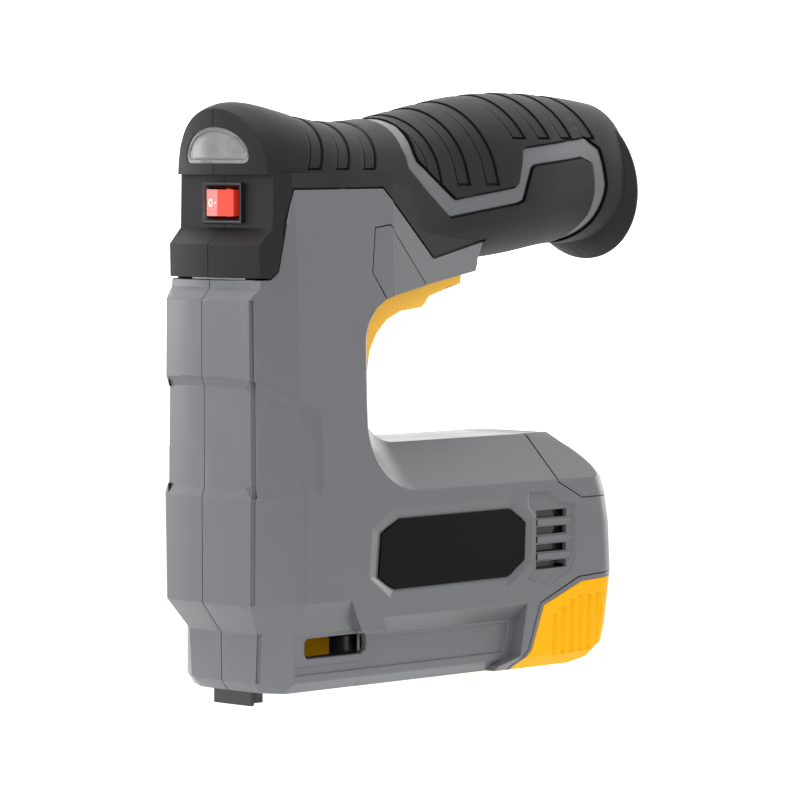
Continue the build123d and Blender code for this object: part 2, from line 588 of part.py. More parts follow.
# Outer body: a hard shell, and the soft skin moulded over the head and the grip
waist = prism_y([(-30, PANEL_TOP_Z)] + PANEL_RIM + [(-30, PANEL_LOW_Z)], -60, 60)
waist_floor = plan_loft(COLUMN_ROWS, PANEL_DEPTH)
wedges = [front_wedge(PANEL_TOP_Z - 0.75, -RIM_SLOPE), front_wedge(PANEL_LOW_Z, RIM_SLOPE)]
for start, end in zip(PANEL_RIM, PANEL_RIM[1:]):
    wedges += both_sides(rim_wedge(start, end))
wedges = plan_loft(COLUMN_ROWS, 0) & (wedges[0] + wedges[1:])
edge_grooves = both_sides(edge_groove(COLUMN_ROWS[3:6], 0)) + both_sides(edge_groove(COLUMN_ROWS[1:3], 0))
waist_grooves = waist & (edge_groove(COLUMN_ROWS[4:6], PANEL_DEPTH) + both_sides(
    edge_groove(COLUMN_ROWS[4:6], PANEL_DEPTH))[1:])
outer = frame_body(0)
hard = outer - (waist - waist_floor) + wedges - edge_grooves - waist_grooves
hard = hard - (region(HEAD_REGION) - trigger_tail(0))
core = plan_loft(HEAD_ROWS, SOFT_SKIN) + [grip(SOFT_SKIN), flange(SOFT_SKIN),
                                          shoulder(SOFT_SKIN) & region(SOFT_SHOULDER)]
strip = grip(STRIP_DEPTH) & region(STRIP_REGION)
hard = hard + [core, strip]
soft = plan_loft(HEAD_ROWS, 0) + [grip(0), flange(0), shoulder(0) & region(SOFT_SHOULDER)]

# Inside of the shell. The grip's end stays closed behind the cell.
END_WALL_X = GRIP_REAR_X - 5.4
grip_room = grip(SOFT_SKIN + WALL) & block((-60, END_WALL_X), (-60, 60), (0, GRIP_Z + 60))
cavity = frame_body(WALL) - region(HEAD_REGION)
cavity += [plan_loft(HEAD_ROOM, SOFT_SKIN + WALL), grip_room,
           shoulder(SOFT_SKIN + WALL) & region(SOFT_SHOULDER)]
shell = hard - cavity
head_soft = (soft & region(HEAD_REGION, -SOFT_GAP)) - [hard, cavity]
grip_soft = (soft & region(GRIP_REGION, -SOFT_GAP)) - hard

# Covers that lie in shallow recesses of the shell
under_covers = frame_body(COVER_DEPTH)
trigger_slot = block((36.2, TRIGGER_REAR_X + 0.6), (-TRIGGER_HALF - SLIDE_GAP, TRIGGER_HALF + SLIDE_GAP),
                     (GRIP_Z - 46, GRIP_Z - 20))
trigger_bezel = (outer & prism_y(BEZEL_OUTLINE, -60, 60)) - [under_covers, trigger_slot]
rear_cover = (outer & prism_y(REAR_COVER_OUTLINE, -60, 60)) - under_covers
recesses = [(outer & prism_y(outline, -60, 60, SEAM_GAP)) - under_covers
            for outline in (BEZEL_OUTLINE, REAR_COVER_OUTLINE)]

# Name plate in a bevelled frame, on one side only
right_side_plane = Plane(origin=(0, -ARM_HALF - 0.05, 0), x_dir=(1, 0, 0), z_dir=(0, -1, 0))
frame_face = right_side_plane * make_face(Polyline(BADGE_FRAME, close=True))
plate_face = make_face(Polyline(BADGE_PLATE, close=True))
badge_recess = bevelled_recess(frame_face, plate_face, -ARM_HALF + BADGE_DEPTH)
name_plate = prism_y(BADGE_PLATE, -ARM_HALF + BADGE_DEPTH - PLATE_THICK, -ARM_HALF + BADGE_DEPTH)

# Motor vents in a shallow recess, staple windows and the long recess over the magazine, on both sides
vent_face = make_face(Polyline(VENT_PANEL, close=True))
vent_floor = offset(vent_face, amount=-VENT_DEPTH, kind=Kind.INTERSECTION)
vent_recess = bevelled_recess(right_side_plane * vent_face, vent_floor, -ARM_HALF + VENT_DEPTH)
fins = []
for above, below in zip(VENT_HEIGHTS, VENT_HEIGHTS[1:]):
    z = (above + below) / 2
    fin = [(94.2, z - 0.9), (107.3, z - 0.9), (109.2, z), (107.3, z + 0.9), (94.2, z + 0.9)]
    fins += both_sides(prism_y(fin, -ARM_HALF + 0.15, -ARM_HALF + VENT_DEPTH + 0.2))
vents = [block(VENT_X, (-ARM_HALF - 5, -ARM_HALF + 5), (z - VENT_HEIGHT / 2, z + VENT_HEIGHT / 2))
         for z in VENT_HEIGHTS]
x0, x1 = WINDOW_X
z0, z1 = WINDOW_Z
window = prism_y([(x0 + 1, z0), (x1 - 2.5, z0), (x1 - 0.6, z0 + 1), (x1, z0 + 2.6), (x1 - 0.6, z1 - 0.6),
                  (x1 - 1.6, z1), (x0 + 1, z1), (x0, z1 - 1), (x0, z0 + 1)], -ARM_HALF - 5, -ARM_HALF + 8)
side_recess = prism_y(SIDE_PANEL, -ARM_HALF - 5, -ARM_HALF + UNDERCUT_DEPTH + 0.6)
side_cuts = []
for shape in [vent_recess, window, side_recess] + vents:
    side_cuts += both_sides(shape)

# Magazine end cap: hollow, with soft flutes on both sides and a grey rim in front of it
cap = (arm(0) & prism_y(cap_outline(0), -60, 60)) - (arm(WALL) & prism_y(cap_outline(-WALL), -60, 60))
cap += block((SPRING_BLOCK_X, ARM_REAR_X - 6), (-3.3, 3.3), (RAIL_Z[0], RAIL_Z[1] - SHEET - 0.1))
cap_flutes = []
for number in range(6):
    x = ARM_REAR_X - 28.5 + 3.62 * number
    low = 7.3 + 0.15 * number
    top = min(23.7, 18.9 + 1.95 * number)
    section = [(x - 1.2, -ARM_HALF - 0.1), (x + 1.2, -ARM_HALF - 0.1), (x + 0.5, -ARM_HALF + 0.6),
               (x - 0.5, -ARM_HALF + 0.6)]
    face = make_face(Polyline([(x, y, low) for x, y in section], close=True))
    cap_flutes += both_sides(extrude(face, amount=top - low, dir=(0.04, 0, 1)))
cap -= cap_flutes
cap_room = prism_y(cap_outline(SEAM_GAP), -60, 60)
bulkhead = prism_y(cap_outline(SEAM_GAP + WALL), -60, 60) - cap_room

# Magazine: fixed staple channel, sliding rail, sprung pusher
channel = block((2.5, 86.0), (-CHANNEL_HALF, CHANNEL_HALF), (BASE_Z + WALL, CHANNEL_TOP_Z))
channel_space = block((0, 100), (-CHANNEL_HALF, CHANNEL_HALF), (BASE_Z + WALL - 3, CHANNEL_TOP_Z))
channel_inner = CHANNEL_HALF - SHEET
staple_channel = channel - block((0, 90), (-channel_inner, channel_inner), (0, CHANNEL_TOP_Z - SHEET))
staple_channel -= block((8, 40), (-30, 30), (12, CHANNEL_TOP_Z - SHEET - 0.2))
magazine_rail = block((3.2, 104), (-RAIL_HALF, RAIL_HALF), RAIL_Z)
magazine_rail -= block((0, 110), (-RAIL_HALF + SHEET, RAIL_HALF - SHEET), (0, RAIL_Z[1] - SHEET))
magazine_rail -= block((6, 80), (-1, 1), (10, 20))
rail_room = block((80, 96), (-RAIL_HALF - 0.2, RAIL_HALF + 0.2), (RAIL_Z[1], RAIL_Z[1] + 0.4))
cap -= [magazine_rail, rail_room]
cap_cover = prism_y(cap_outline(-RIM_WIDTH), -60, 60)
magazine_cap = cap & cap_cover
cap_rim = cap - cap_cover
pusher_side = RAIL_HALF + SLIDE_GAP
pusher_top = RAIL_Z[1] + SLIDE_GAP
pusher = block(PUSHER_X, (-5.8, 5.8), (8.0, pusher_top + 0.9))
pusher -= block((0, 60), (-pusher_side, pusher_side), (0, pusher_top))
pusher += block((24.0, PUSHER_X[1]), (-0.7, 0.7), (14.0, pusher_top + 0.5))
pusher += block((24.0, PUSHER_X[1]), (-3.1, 3.1), (9.0, 14.7))
pusher_spring = coil((PUSHER_X[1], 0, 11.6), PUSHER_SPRING_R, PUSHER_WIRE, SPRING_BLOCK_X - PUSHER_X[1],
                     PUSHER_COILS, (1, 0, 0))

# Nose: a fixed block with the drive slot, and a sprung contact plate in front of it
nose_block = block((-0.8, 2.3), (-7.3, 7.3), (0.8, 18.9)) + block((-4.0, 6.0), (-10.5, 10.5), (18.9, 20.4))
slot_half = BLADE_HALF + 0.1
slot_x = BLADE_THICK / 2 + 0.1
nose_block -= block((-2, slot_x), (-slot_half, slot_half), (0, 18.9))
nose_block -= block((-slot_x, slot_x), (-slot_half, slot_half), (15, 30))
nose_block -= block((0, 5), (-BLADE_HALF, BLADE_HALF), (7.0, 17.0))
SAFETY_Z = 14.5             # top of the contact plate
safety_nose = block((-2.2, -1.0), (-7.3, 7.3), (0, SAFETY_Z))
safety_nose += [block((-2.2, -1.0), (7, 9.1), (11.5, SAFETY_Z)),
                block((-2.2, 9), (7.9, 9.1), (11.5, SAFETY_Z)),
                block((3, 9), (7.9, 15.2), (12.5, SAFETY_Z))]
SAFETY_SPRING = (6.0, 12.9)
safety_spring = coil((*SAFETY_SPRING, SAFETY_Z), 1.8, 0.6, 25 - SAFETY_Z, 6, (0, 0, 1))
bumper = block((-3.8, 5.5), (-8.8, 8.8), (20.4, STRIKER_Z[0] - SLIDE_GAP))
bumper -= block((-slot_x - 0.1, slot_x + 0.1), (-slot_half - 0.2, slot_half + 0.2), (15, 30))

# Striker with a rack on its back, the driver blade and the guide
rack_pitch = pi * RACK_MODULE
rack_x = LIFT_AXIS[0] - RACK_TEETH * RACK_MODULE / 2
striker = block((-5.5, 6.0), (-STRIKER_HALF, STRIKER_HALF), STRIKER_Z)
rack = block((5, rack_x + 0.8 * RACK_MODULE), (-3.5, 3.5), (STRIKER_Z[0], LIFT_AXIS[1] + 0.9 * rack_pitch))
slope = tan(radians(20))
gap_half = (rack_pitch / 2 + BACKLASH / 2) / 2
for number in range(LIFTING_TEETH):
    z = LIFT_AXIS[1] - number * rack_pitch
    low = gap_half - 1.1 * RACK_MODULE * slope
    high = gap_half + 1.2 * RACK_MODULE * slope
    deep = rack_x - 1.1 * RACK_MODULE
    open_x = rack_x + 1.2 * RACK_MODULE
    rack -= prism_y([(deep, z - low), (open_x, z - high), (open_x, z + high), (deep, z + low)], -9, 9)
striker += [rack, rod_z(0.25, 0, 3.2, STRIKER_Z[1], STRIKER_Z[1] + 7)]
driver_blade = block((-BLADE_THICK / 2, BLADE_THICK / 2), (-BLADE_HALF, BLADE_HALF), (0.5, 44.0))
striker -= driver_blade
guide_back = 7.6
striker_guide = block((-7.0, guide_back), (-10.4, 10.4), GUIDE_Z)
striker_guide -= block((-5.8, 6.4), (-9.3, 9.3), (0, 200))
striker_guide -= block((6, 12), (-5, 5), (0, 200))
seat_low = GUIDE_Z[1] - SEAT_THICK
spring_seat = block((-5.6, 6.2), (-9.0, 9.0), (seat_low, GUIDE_Z[1]))
spring_seat += rod_z(0.25, 0, 3.2, seat_low - 5, seat_low)
main_length = seat_low - STRIKER_Z[1]
main_spring = coil((0.25, 0, STRIKER_Z[1]), MAIN_SPRING_R, MAIN_WIRE, main_length, MAIN_COILS, (0, 0, 1))

# Gear train from the motor to the lifting sector
second_axis = polar(LIFT_AXIS, (LIFT_TEETH + LIFT_PINION) * LIFT_MODULE / 2, -8)
first_axis = polar(second_axis, (SECOND_TEETH + SECOND_PINION) * SECOND_MODULE / 2, -10)
motor_axis = polar(first_axis, (FIRST_TEETH + MOTOR_PINION) * FIRST_MODULE / 2, 8)
sector = [LIFT_AXIS]
sector_step = 360 / RACK_TEETH
for number in range(LIFTING_TEETH):
    points = tooth_points(RACK_TEETH, RACK_MODULE, 180 + number * sector_step)
    sector += [(LIFT_AXIS[0] + x, LIFT_AXIS[1] + z) for x, z in points]
lift_gear = gear_between(second_axis, LIFT_AXIS, LIFT_TEETH, LIFT_MODULE, LIFT_LAYER, False)
lift_gear -= lightened(LIFT_AXIS, 12.0, 3.2, LIFT_LAYER)
lift_gear += [prism_y(sector, *SECTOR_LAYER), rod_y(*LIFT_AXIS, 7.0, SECTOR_LAYER[0], LIFT_LAYER[1])]
lift_gear -= rod_y(*LIFT_AXIS, AXLE_R + FIT_GAP, -30, 30)
gear_two = gear_between(first_axis, second_axis, SECOND_TEETH, SECOND_MODULE, SECOND_LAYER, False)
gear_two -= lightened(second_axis, 11.5, 3.0, SECOND_LAYER)
gear_two += gear_between(second_axis, LIFT_AXIS, LIFT_PINION, LIFT_MODULE,
                         (LIFT_LAYER[0], SECOND_LAYER[0] + 1), True)
gear_two -= rod_y(*second_axis, AXLE_R + FIT_GAP, -30, 30)
gear_one = gear_between(motor_axis, first_axis, FIRST_TEETH, FIRST_MODULE, FIRST_LAYER, False)
gear_one -= lightened(first_axis, 11.0, 3.0, FIRST_LAYER)
gear_one += gear_between(first_axis, second_axis, SECOND_PINION, SECOND_MODULE,
                         (SECOND_LAYER[0], FIRST_LAYER[0] + 1), True)
gear_one -= rod_y(*first_axis, AXLE_R + FIT_GAP, -30, 30)
motor_pinion = gear_between(motor_axis, first_axis, MOTOR_PINION, FIRST_MODULE, FIRST_LAYER, True)
motor_pinion -= rod_y(*motor_axis, SHAFT_R, -30, 30)
motor_shaft = rod_y(*motor_axis, SHAFT_R, MOTOR_Y[0] + 2, FIRST_LAYER[1] + 1)
axle_end = ARM_HALF - WALL - 1
gear_axles = [rod_y(*axis, AXLE_R, -axle_end, axle_end) for axis in (LIFT_AXIS, second_axis, first_axis)]

# Motor on a plate that is screwed to posts in the left half
motor_can = rod_y(*motor_axis, MOTOR_R, *MOTOR_Y)
motor_can -= rod_y(*motor_axis, SHAFT_R + FIT_GAP, -30, 30)
motor_end_cap = rod_y(*motor_axis, MOTOR_R - 1, MOTOR_Y[0] - 3.5, MOTOR_Y[0])
motor_end_cap += rod_y(*motor_axis, 5, -ARM_HALF + WALL, MOTOR_Y[0] - 3)
for x in (7 - MOTOR_R, MOTOR_R - 7):
    motor_end_cap += block((motor_axis[0] + x - 1.2, motor_axis[0] + x + 1.2),
                           (-ARM_HALF + WALL + 0.4, MOTOR_Y[0] - 3),
                           (motor_axis[1] + MOTOR_R - 9.8, motor_axis[1] + MOTOR_R - 4))
PLATE_Y = (MOTOR_Y[1], MOTOR_Y[1] + 1.6)
plate_points = [(-13.9, -9), (-13.9, 9), (-11.4, 19), (-6, 20.5), (9.5, 18), (15.6, 11),
                (15.6, -12), (13, -12.9), (8, -14.8), (-2, -19.2), (-5, -20.4), (-8.5, -18.5)]
motor_plate = prism_y([(motor_axis[0] + x, motor_axis[1] + z) for x, z in plate_points], *PLATE_Y)
motor_plate -= rod_y(*motor_axis, 3.2, 0, 30)
post_offsets = [(9.5, 13.8), (13.8, -9.6), (-8.4, 16.6), (-5.4, -17.6)]
post_places = [(motor_axis[0] + x, motor_axis[1] + z) for x, z in post_offsets]
can_screws = [(motor_axis[0], motor_axis[1] + z) for z in (-8, 8)]
motor_screws = []
for x, z in post_places:
    head = rod_y(x, z, 2.2, PLATE_Y[0] - 1.4, PLATE_Y[0])
    motor_screws.append(head + rod_y(x, z, 1.1, PLATE_Y[0] - 0.5, PLATE_Y[1] + 6))
for x, z in can_screws:
    head = rod_y(x, z, 1.9, PLATE_Y[1], PLATE_Y[1] + 1.2)
    motor_screws.append(head + rod_y(x, z, 1.0, PLATE_Y[0] - 3, PLATE_Y[1] + 0.5))
motor_plate -= motor_screws
motor_can -= motor_screws

# Trigger, its switch and its return spring
trigger_outline = [(TRIGGER_REAR_X, 116), (TRIGGER_REAR_X - 0.8, 113.7), (72.9, 112), (66.6, 110.2),
                   (63.8, 107.3), (55.3, 106.4), (49.3, 103.9), (45.4, 100.3), (42.7, 95.5), (41.9, 90.5),
                   (39, 88.5), (36.4, 88.9), (35.3, 90.5), (35.2, 93.5), (35.7, 97), (37, 102), (37.6, 108),
                   (38, 116), (40, 119.5), (46, 119.5), (52, 118.5), (TRIGGER_REAR_X, 118.5)]
trigger = prism_y(trigger_outline, -TRIGGER_HALF, TRIGGER_HALF)
trigger -= block((50, TRIGGER_REAR_X - 3), (-TRIGGER_HALF + 2, TRIGGER_HALF - 2), (115.5, 121))
trigger += block((54, 77), (-2, 2), (112, 118.5))
trigger += rod_y(*TRIGGER_PIVOT, TRUNNION_R, -TRIGGER_HALF - 3.4, TRIGGER_HALF + 3.4)
SWITCH_LOW_Z = 122.0
trigger_switch = block((49, 69), (-3.2, 3.2), (SWITCH_LOW_Z, SWITCH_LOW_Z + 10))
terminal_z = (SWITCH_LOW_Z + 9, SWITCH_LOW_Z + 14)
trigger_switch += [block((x, x + 0.6), (-1.6, 1.6), terminal_z) for x in (51, 58, 65)]
trigger_switch -= block((55.4, 58.6), (-1.3, 1.3), (SWITCH_LOW_Z - 1, SWITCH_LOW_Z + 4))
switch_plunger = block((55.7, 58.3), (-1.0, 1.0), (118.5 + SLIDE_GAP, SWITCH_LOW_Z + 2))
trigger_spring = coil((74, 0, 118.5), 2.2, 0.7, 9.5, 6, (0, 0, 1))

# Work light behind its lens, and the rocker switch
lens_points = []
for number in range(25):
    turn = pi * number / 24
    lens_points.append((LENS_HALF * cos(turn), LENS_Z[0] + 1.6 + (LENS_Z[1] - LENS_Z[0] - 1.6) * sin(turn)))
lens_points += [(-LENS_HALF + 0.5, LENS_Z[0] + 0.5), (-LENS_HALF + 1.6, LENS_Z[0]),
                (LENS_HALF - 1.6, LENS_Z[0]), (LENS_HALF - 0.5, LENS_Z[0] + 0.5)]
lens_hole = prism_x(lens_points, FRONT_X - 5, 0.8)
led_lens = grip(0.25) & prism_x(lens_points, FRONT_X - 5, BROW_FRONT_X + 5.0)
led_lens -= grip(0.25 + LENS_WALL) & prism_x(lens_points, FRONT_X - 5, BROW_FRONT_X + 6, -LENS_WALL)
led_board = block((1.0, 2.2), (-9, 9), (GRIP_Z + 5, GRIP_Z + 16))
led = rod_x(0, GRIP_Z + 10.5, 2.5, -2.9, 1.0)
led = fillet(led.edges().sort_by(Axis.X)[0], 2.3)
led += rod_x(0, GRIP_Z + 10.5, 2.9, 0.0, 1.0)
flange_back = SWITCH_X + 0.15


def frame_mouth(x, wider):
    """Opening of the switch frame at one depth, wider than the rocker by a margin."""
    plane = Plane(origin=(x, 0, SWITCH_Z), x_dir=(0, 1, 0), z_dir=(1, 0, 0))
    return plane * Rectangle(2 * (ROCKER_HALF + wider + 0.2), 2 * (ROCKER_HALF_HEIGHT + wider))


switch_body = block((flange_back - 1.5, flange_back), (-7.55, 7.55), (SWITCH_Z - 5.45, SWITCH_Z + 5.45))
switch_body += block((flange_back, 8.0), (-6.5, 6.5), (SWITCH_Z - 4.5, SWITCH_Z + 4.5))
switch_body += [block((7, 13), (y - 0.4, y + 0.4), (SWITCH_Z - 2.4, SWITCH_Z + 2.4)) for y in (-3.5, 3.5)]
switch_body -= block((flange_back - 3, 2.0), (-ROCKER_HALF - 0.5, ROCKER_HALF + 0.5),
                     (SWITCH_Z - ROCKER_HALF_HEIGHT - 0.3, SWITCH_Z + ROCKER_HALF_HEIGHT + 0.3))
switch_body -= loft([frame_mouth(flange_back - 1.51, 1.2), frame_mouth(flange_back, 0.3)], ruled=True)
switch_body -= rod_z(-2.6, 0, 1.0 + FIT_GAP, SWITCH_Z - 4.3, SWITCH_Z + 4.3)
rocker_front = flange_back - 1.5
rocker_ridge = rocker_front - 1.6
rocker_plan = [(rocker_ridge + ROCKER_HALF * tan(radians(13)), ROCKER_HALF), (rocker_ridge, 0),
               (rocker_ridge + ROCKER_HALF * tan(radians(8)), -ROCKER_HALF), (-3.6, -ROCKER_HALF),
               (-0.8, -2.0), (-0.8, 2.0), (-3.6, ROCKER_HALF)]
rocker = prism_z(rocker_plan, SWITCH_Z - ROCKER_HALF_HEIGHT, SWITCH_Z + ROCKER_HALF_HEIGHT)
rocker += rod_z(-2.6, 0, 1.0, SWITCH_Z - 4.2, SWITCH_Z + 4.2)

# Cell, its tabs, the control board and the charging socket
cell_place = Pos(CELL_CENTRE[0], 0, CELL_CENTRE[1]) * Rot(0, 90 - CELL_TILT, 0)
battery_cell = cell_place * (Cylinder(CELL_R, CELL_LENGTH) - [Pos(0, 0, CELL_LENGTH / 2) * (
    Cylinder(CELL_R + 1, 1.2) - Cylinder(3.4, 1.2))])
tab_far = CELL_LENGTH / 2
battery_tabs = [cell_place * Pos(0, 0, side * (tab_far + 0.15)) * Box(12, 6, 0.3) for side in (-1, 1)]
control_board = block((26, 56.5), (-9, 9), (GRIP_Z + 8.5, GRIP_Z + 10.1))
board_top = GRIP_Z + 10.1
board_low = GRIP_Z + 8.5
control_board += [block((30, 36), (-3, 3), (board_top, board_top + 1.4)),
                  block((40, 45), (-6, -1), (board_top, board_top + 1.2)),
                  block((40, 44), (2, 7), (board_top, board_top + 1.8)),
                  rod_z(50, -4.5, 2.5, board_low - 7, board_low),
                  rod_z(50, 3.5, 2.5, board_low - 7, board_low),
                  block((29, 37), (-6, 6), (board_low - 4, board_low))]
charge_board = block((END_WALL_X - 1.6, END_WALL_X - 0.4), (-8, 8), (GRIP_Z - 6, GRIP_Z + 10))
socket_end = GRIP_REAR_X + 1.2
socket_hole = block((END_WALL_X - 2, GRIP_REAR_X + 9), (-4.6, 4.6), (GRIP_Z - 1.7, GRIP_Z + 1.7))
charge_socket = block((END_WALL_X - 0.4, socket_end), (-4.6, 4.6), (GRIP_Z - 1.7, GRIP_Z + 1.7))
charge_socket -= block((socket_end - 5, socket_end + 1), (-4.2, 4.2), (GRIP_Z - 1.3, GRIP_Z + 1.3))
charge_socket += block((socket_end - 5.5, socket_end - 0.8), (-3.3, 3.3), (GRIP_Z - 0.35, GRIP_Z + 0.35))

# Ribs, bosses and posts that carry the inner pieces
guide_hole = block((-7.0, guide_back), (-10.4, 10.4), (0, 200))
ribs = [block((-20, guide_back), (-30, 30), (z, z + 1.6)) - guide_hole for z in (40, 70, 100)]
ribs.append(block((-20, 16), (-30, 30), (GUIDE_Z[1], GUIDE_Z[1] + 2.5)))
ribs += both_sides(block((-8, 1.5), (9.6, 30), (18.4, 21.4)))
ribs.append(block((2, 10), (10.8, 30), (25, 27)))
ribs += [block((x, x + 2), (-30, 30), (5, 22)) - channel_space for x in (45, 70)]
ribs.append(bulkhead - channel_space)
ribs += both_sides(block((39, 47), (TRIGGER_HALF + SLIDE_GAP, 30), (111, 121)))
switch_rib_z = (SWITCH_LOW_Z + 2, SWITCH_LOW_Z + 8)
ribs += [block((x, x + 2), (-30, 30), switch_rib_z) - trigger_switch for x in (52, 62)]
ribs.append(block((71, 77), (-30, 30), (128, 130)))
ribs += both_sides(block((-0.2, 3.4), (8, 30), (GRIP_Z + 8, GRIP_Z + 11)))
ribs += both_sides(block((30, 34), (8, 30), (board_low - 1.2, board_top + 1.2)))
ribs += both_sides(block((50, 54), (8, 30), (board_low - 1.2, board_top + 1.2)))
ribs += both_sides(block((END_WALL_X - 3.4, END_WALL_X + 1), (7, 30), (GRIP_Z - 3, GRIP_Z + 7)))
ribs += [block((x, x + 2), (-30, 30), (GRIP_Z - 18, GRIP_Z + 24)) for x in (80, 99, 120)]
axle_bosses = [(LIFT_AXIS, LIFT_LAYER[1] + 0.4, SECTOR_LAYER[0] - 0.4),
               (second_axis, SECOND_LAYER[1] + 0.4, LIFT_LAYER[0] - 0.4),
               (first_axis, FIRST_LAYER[1] + 0.4, SECOND_LAYER[0] - 0.4)]
for axis, left_end, right_end in axle_bosses:
    ribs += [rod_y(*axis, 4.5, left_end, 30), rod_y(*axis, 4.5, -30, right_end)]
ribs += [rod_y(x, z, 2.8, PLATE_Y[1], 30) for x, z in post_places]
ribs.append(rod_y(*motor_axis, MOTOR_R + 1.2, -30, MOTOR_Y[0] - 1) - rod_y(*motor_axis, MOTOR_R - 1, -30, 0))
screw_cuts = []
housing_screws = []
for x, z, head_y in SCREWS:
    ribs += [rod_y(x, z, BOSS_R, -30, 30), rod_y(x, z, BOSS_R + 1.1, head_y - 4.5, 30)]
    screw_cuts += [rod_y(x, z, SCREW_HEAD_R + 0.4, head_y - 2.2, 40), rod_y(x, z, SCREW_R + 0.2, 0, head_y),
                   rod_y(x, z, SCREW_R, -10, 1)]
    screw = rod_y(x, z, SCREW_R, -9.5, head_y - 2.0) + rod_y(x, z, SCREW_HEAD_R, head_y - 2.2, head_y)
    screw -= Pos(x, head_y, z) * (Box(3.4, 2.4, 0.7) + Box(0.7, 2.4, 3.4))
    housing_screws.append(screw)

# The two halves of the housing
inner_ribs = hard & (ribs[0] + ribs[1:])
housing = shell + inner_ribs
nose_hole = block((-2.5, 2.6), (-7.6, 7.6), (0, BASE_Z + WALL + 1))
switch_hole = block((SWITCH_X - 3, 12), (-6.5, 6.5), (SWITCH_Z - 4.5, SWITCH_Z + 4.5))
switch_seat = block((SWITCH_X - 3, flange_back), (-7.8, 7.8), (SWITCH_Z - 5.7, SWITCH_Z + 5.7))
cell_room = [cell_place * Cylinder(CELL_R, CELL_LENGTH + 2), *battery_tabs]
guide_space = block((-7.0, guide_back), (-10.4, 10.4), GUIDE_Z)
held = [led_board, control_board, charge_board, nose_block, guide_space]
held += cell_room + gear_axles + motor_screws
openings = [trigger_slot, cap_room, badge_recess, lens_hole, switch_hole, switch_seat, socket_hole, nose_hole]
openings.append(rod_y(*TRIGGER_PIVOT, TRUNNION_R + FIT_GAP, -TRIGGER_HALF - 3.8, TRIGGER_HALF + 3.8))
housing -= recesses + openings + side_cuts + screw_cuts + held
housing += fins
left_side = block((-60, 260), (0, 60), (-20, 260))
right_side = block((-60, 260), (-60, 0), (-20, 260))
# Two of the right half's axle bosses reach across the middle plane
long_bosses = [(second_axis, LIFT_LAYER[0] - 0.4), (first_axis, SECOND_LAYER[0] - 0.4)]
boss_reach = [rod_y(*axis, 4.5, 0, end) - rod_y(*axis, AXLE_R, -1, end + 1) for axis, end in long_bosses]
boss_room = [rod_y(*axis, 5.0, -1, end + 0.3) for axis, end in long_bosses]

# Finger pads across the neck and the grip, with a slit round each
pads = []
for x in (10.0, 20.3, 30.8):
    pads.append([(x - 2.5, 4), (x + 2.5, 4), (x + 13.6, 33), (x + 8.6, 33)])
grip_pads = [(58.5, -0.5), (69.2, -0.5), (80.0, -0.5),
             (91.8, 12.5), (101.8, 12.5), (111.8, 12.5), (122.2, 12.5)]
for x, low in grip_pads:
    lean = 0.29 * (35 - low)
    pads.append([(x - 2.6, low), (x + 2.6, low), (x + 2.6 - lean, 35), (x - 2.6 - lean, 35)])
pad_floor = grip(PAD_DEPTH)
slit_floor = grip(SLIT_DEPTH)
pad_cuts = []
for pad in pads:
    pad_cuts += [region(pad) - pad_floor, region(pad) - [region(pad, -SLIT_WIDTH), slit_floor]]
soft_cuts = pad_cuts + [lens_hole, switch_hole, switch_seat, socket_hole, guide_space] + screw_cuts
head_soft -= soft_cuts
grip_soft -= soft_cuts

nodes = {
    "housing_left": (housing & left_side) - boss_room, "housing_right": (housing & right_side) + boss_reach,
    "head_overmold_left": head_soft & left_side, "head_overmold_right": head_soft & right_side,
    "grip_overmold_left": grip_soft & left_side, "grip_overmold_right": grip_soft & right_side,
    "rear_cover": rear_cover, "trigger_bezel": trigger_bezel, "name_plate": name_plate,
    "housing_screws": housing_screws,
    "led_lens": led_lens, "led": led, "led_board": led_board, "switch_body": switch_body, "rocker": rocker,
    "motor_can": motor_can, "motor_end_cap": motor_end_cap, "motor_plate": motor_plate,
    "motor_screws": motor_screws, "motor_shaft": motor_shaft, "motor_pinion": motor_pinion,
    "gear_axles": gear_axles, "gear_one": gear_one, "gear_two": gear_two, "lift_gear": lift_gear,
    "striker": striker, "driver_blade": driver_blade, "striker_guide": striker_guide,
    "spring_seat": spring_seat, "main_spring": main_spring, "bumper": bumper, "nose_block": nose_block,
    "safety_nose": safety_nose, "safety_spring": safety_spring,
    "staple_channel": staple_channel, "magazine_cap": magazine_cap, "cap_rim": cap_rim,
    "magazine_rail": magazine_rail,
    "pusher": pusher, "pusher_spring": pusher_spring,
    "trigger": trigger, "trigger_switch": trigger_switch, "switch_plunger": switch_plunger,
    "trigger_spring": trigger_spring,
    "battery_cell": battery_cell, "battery_tabs": battery_tabs, "control_board": control_board,
    "charge_board": charge_board, "charge_socket": charge_socket,
}
os.makedirs("parts", exist_ok=True)
for name, shape in nodes.items():
    pieces = shape if isinstance(shape, list) else [shape]
    export_step(Compound(children=[Solid(piece.wrapped) for part in pieces for piece in part.solids()]),
                f"parts/{name}.step")
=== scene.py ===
from math import cos, pi, radians, sin, sqrt, tan

import bmesh
import bpy
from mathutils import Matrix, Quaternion, Vector
from mathutils.bvhtree import BVHTree
from mathutils.geometry import intersect_point_line


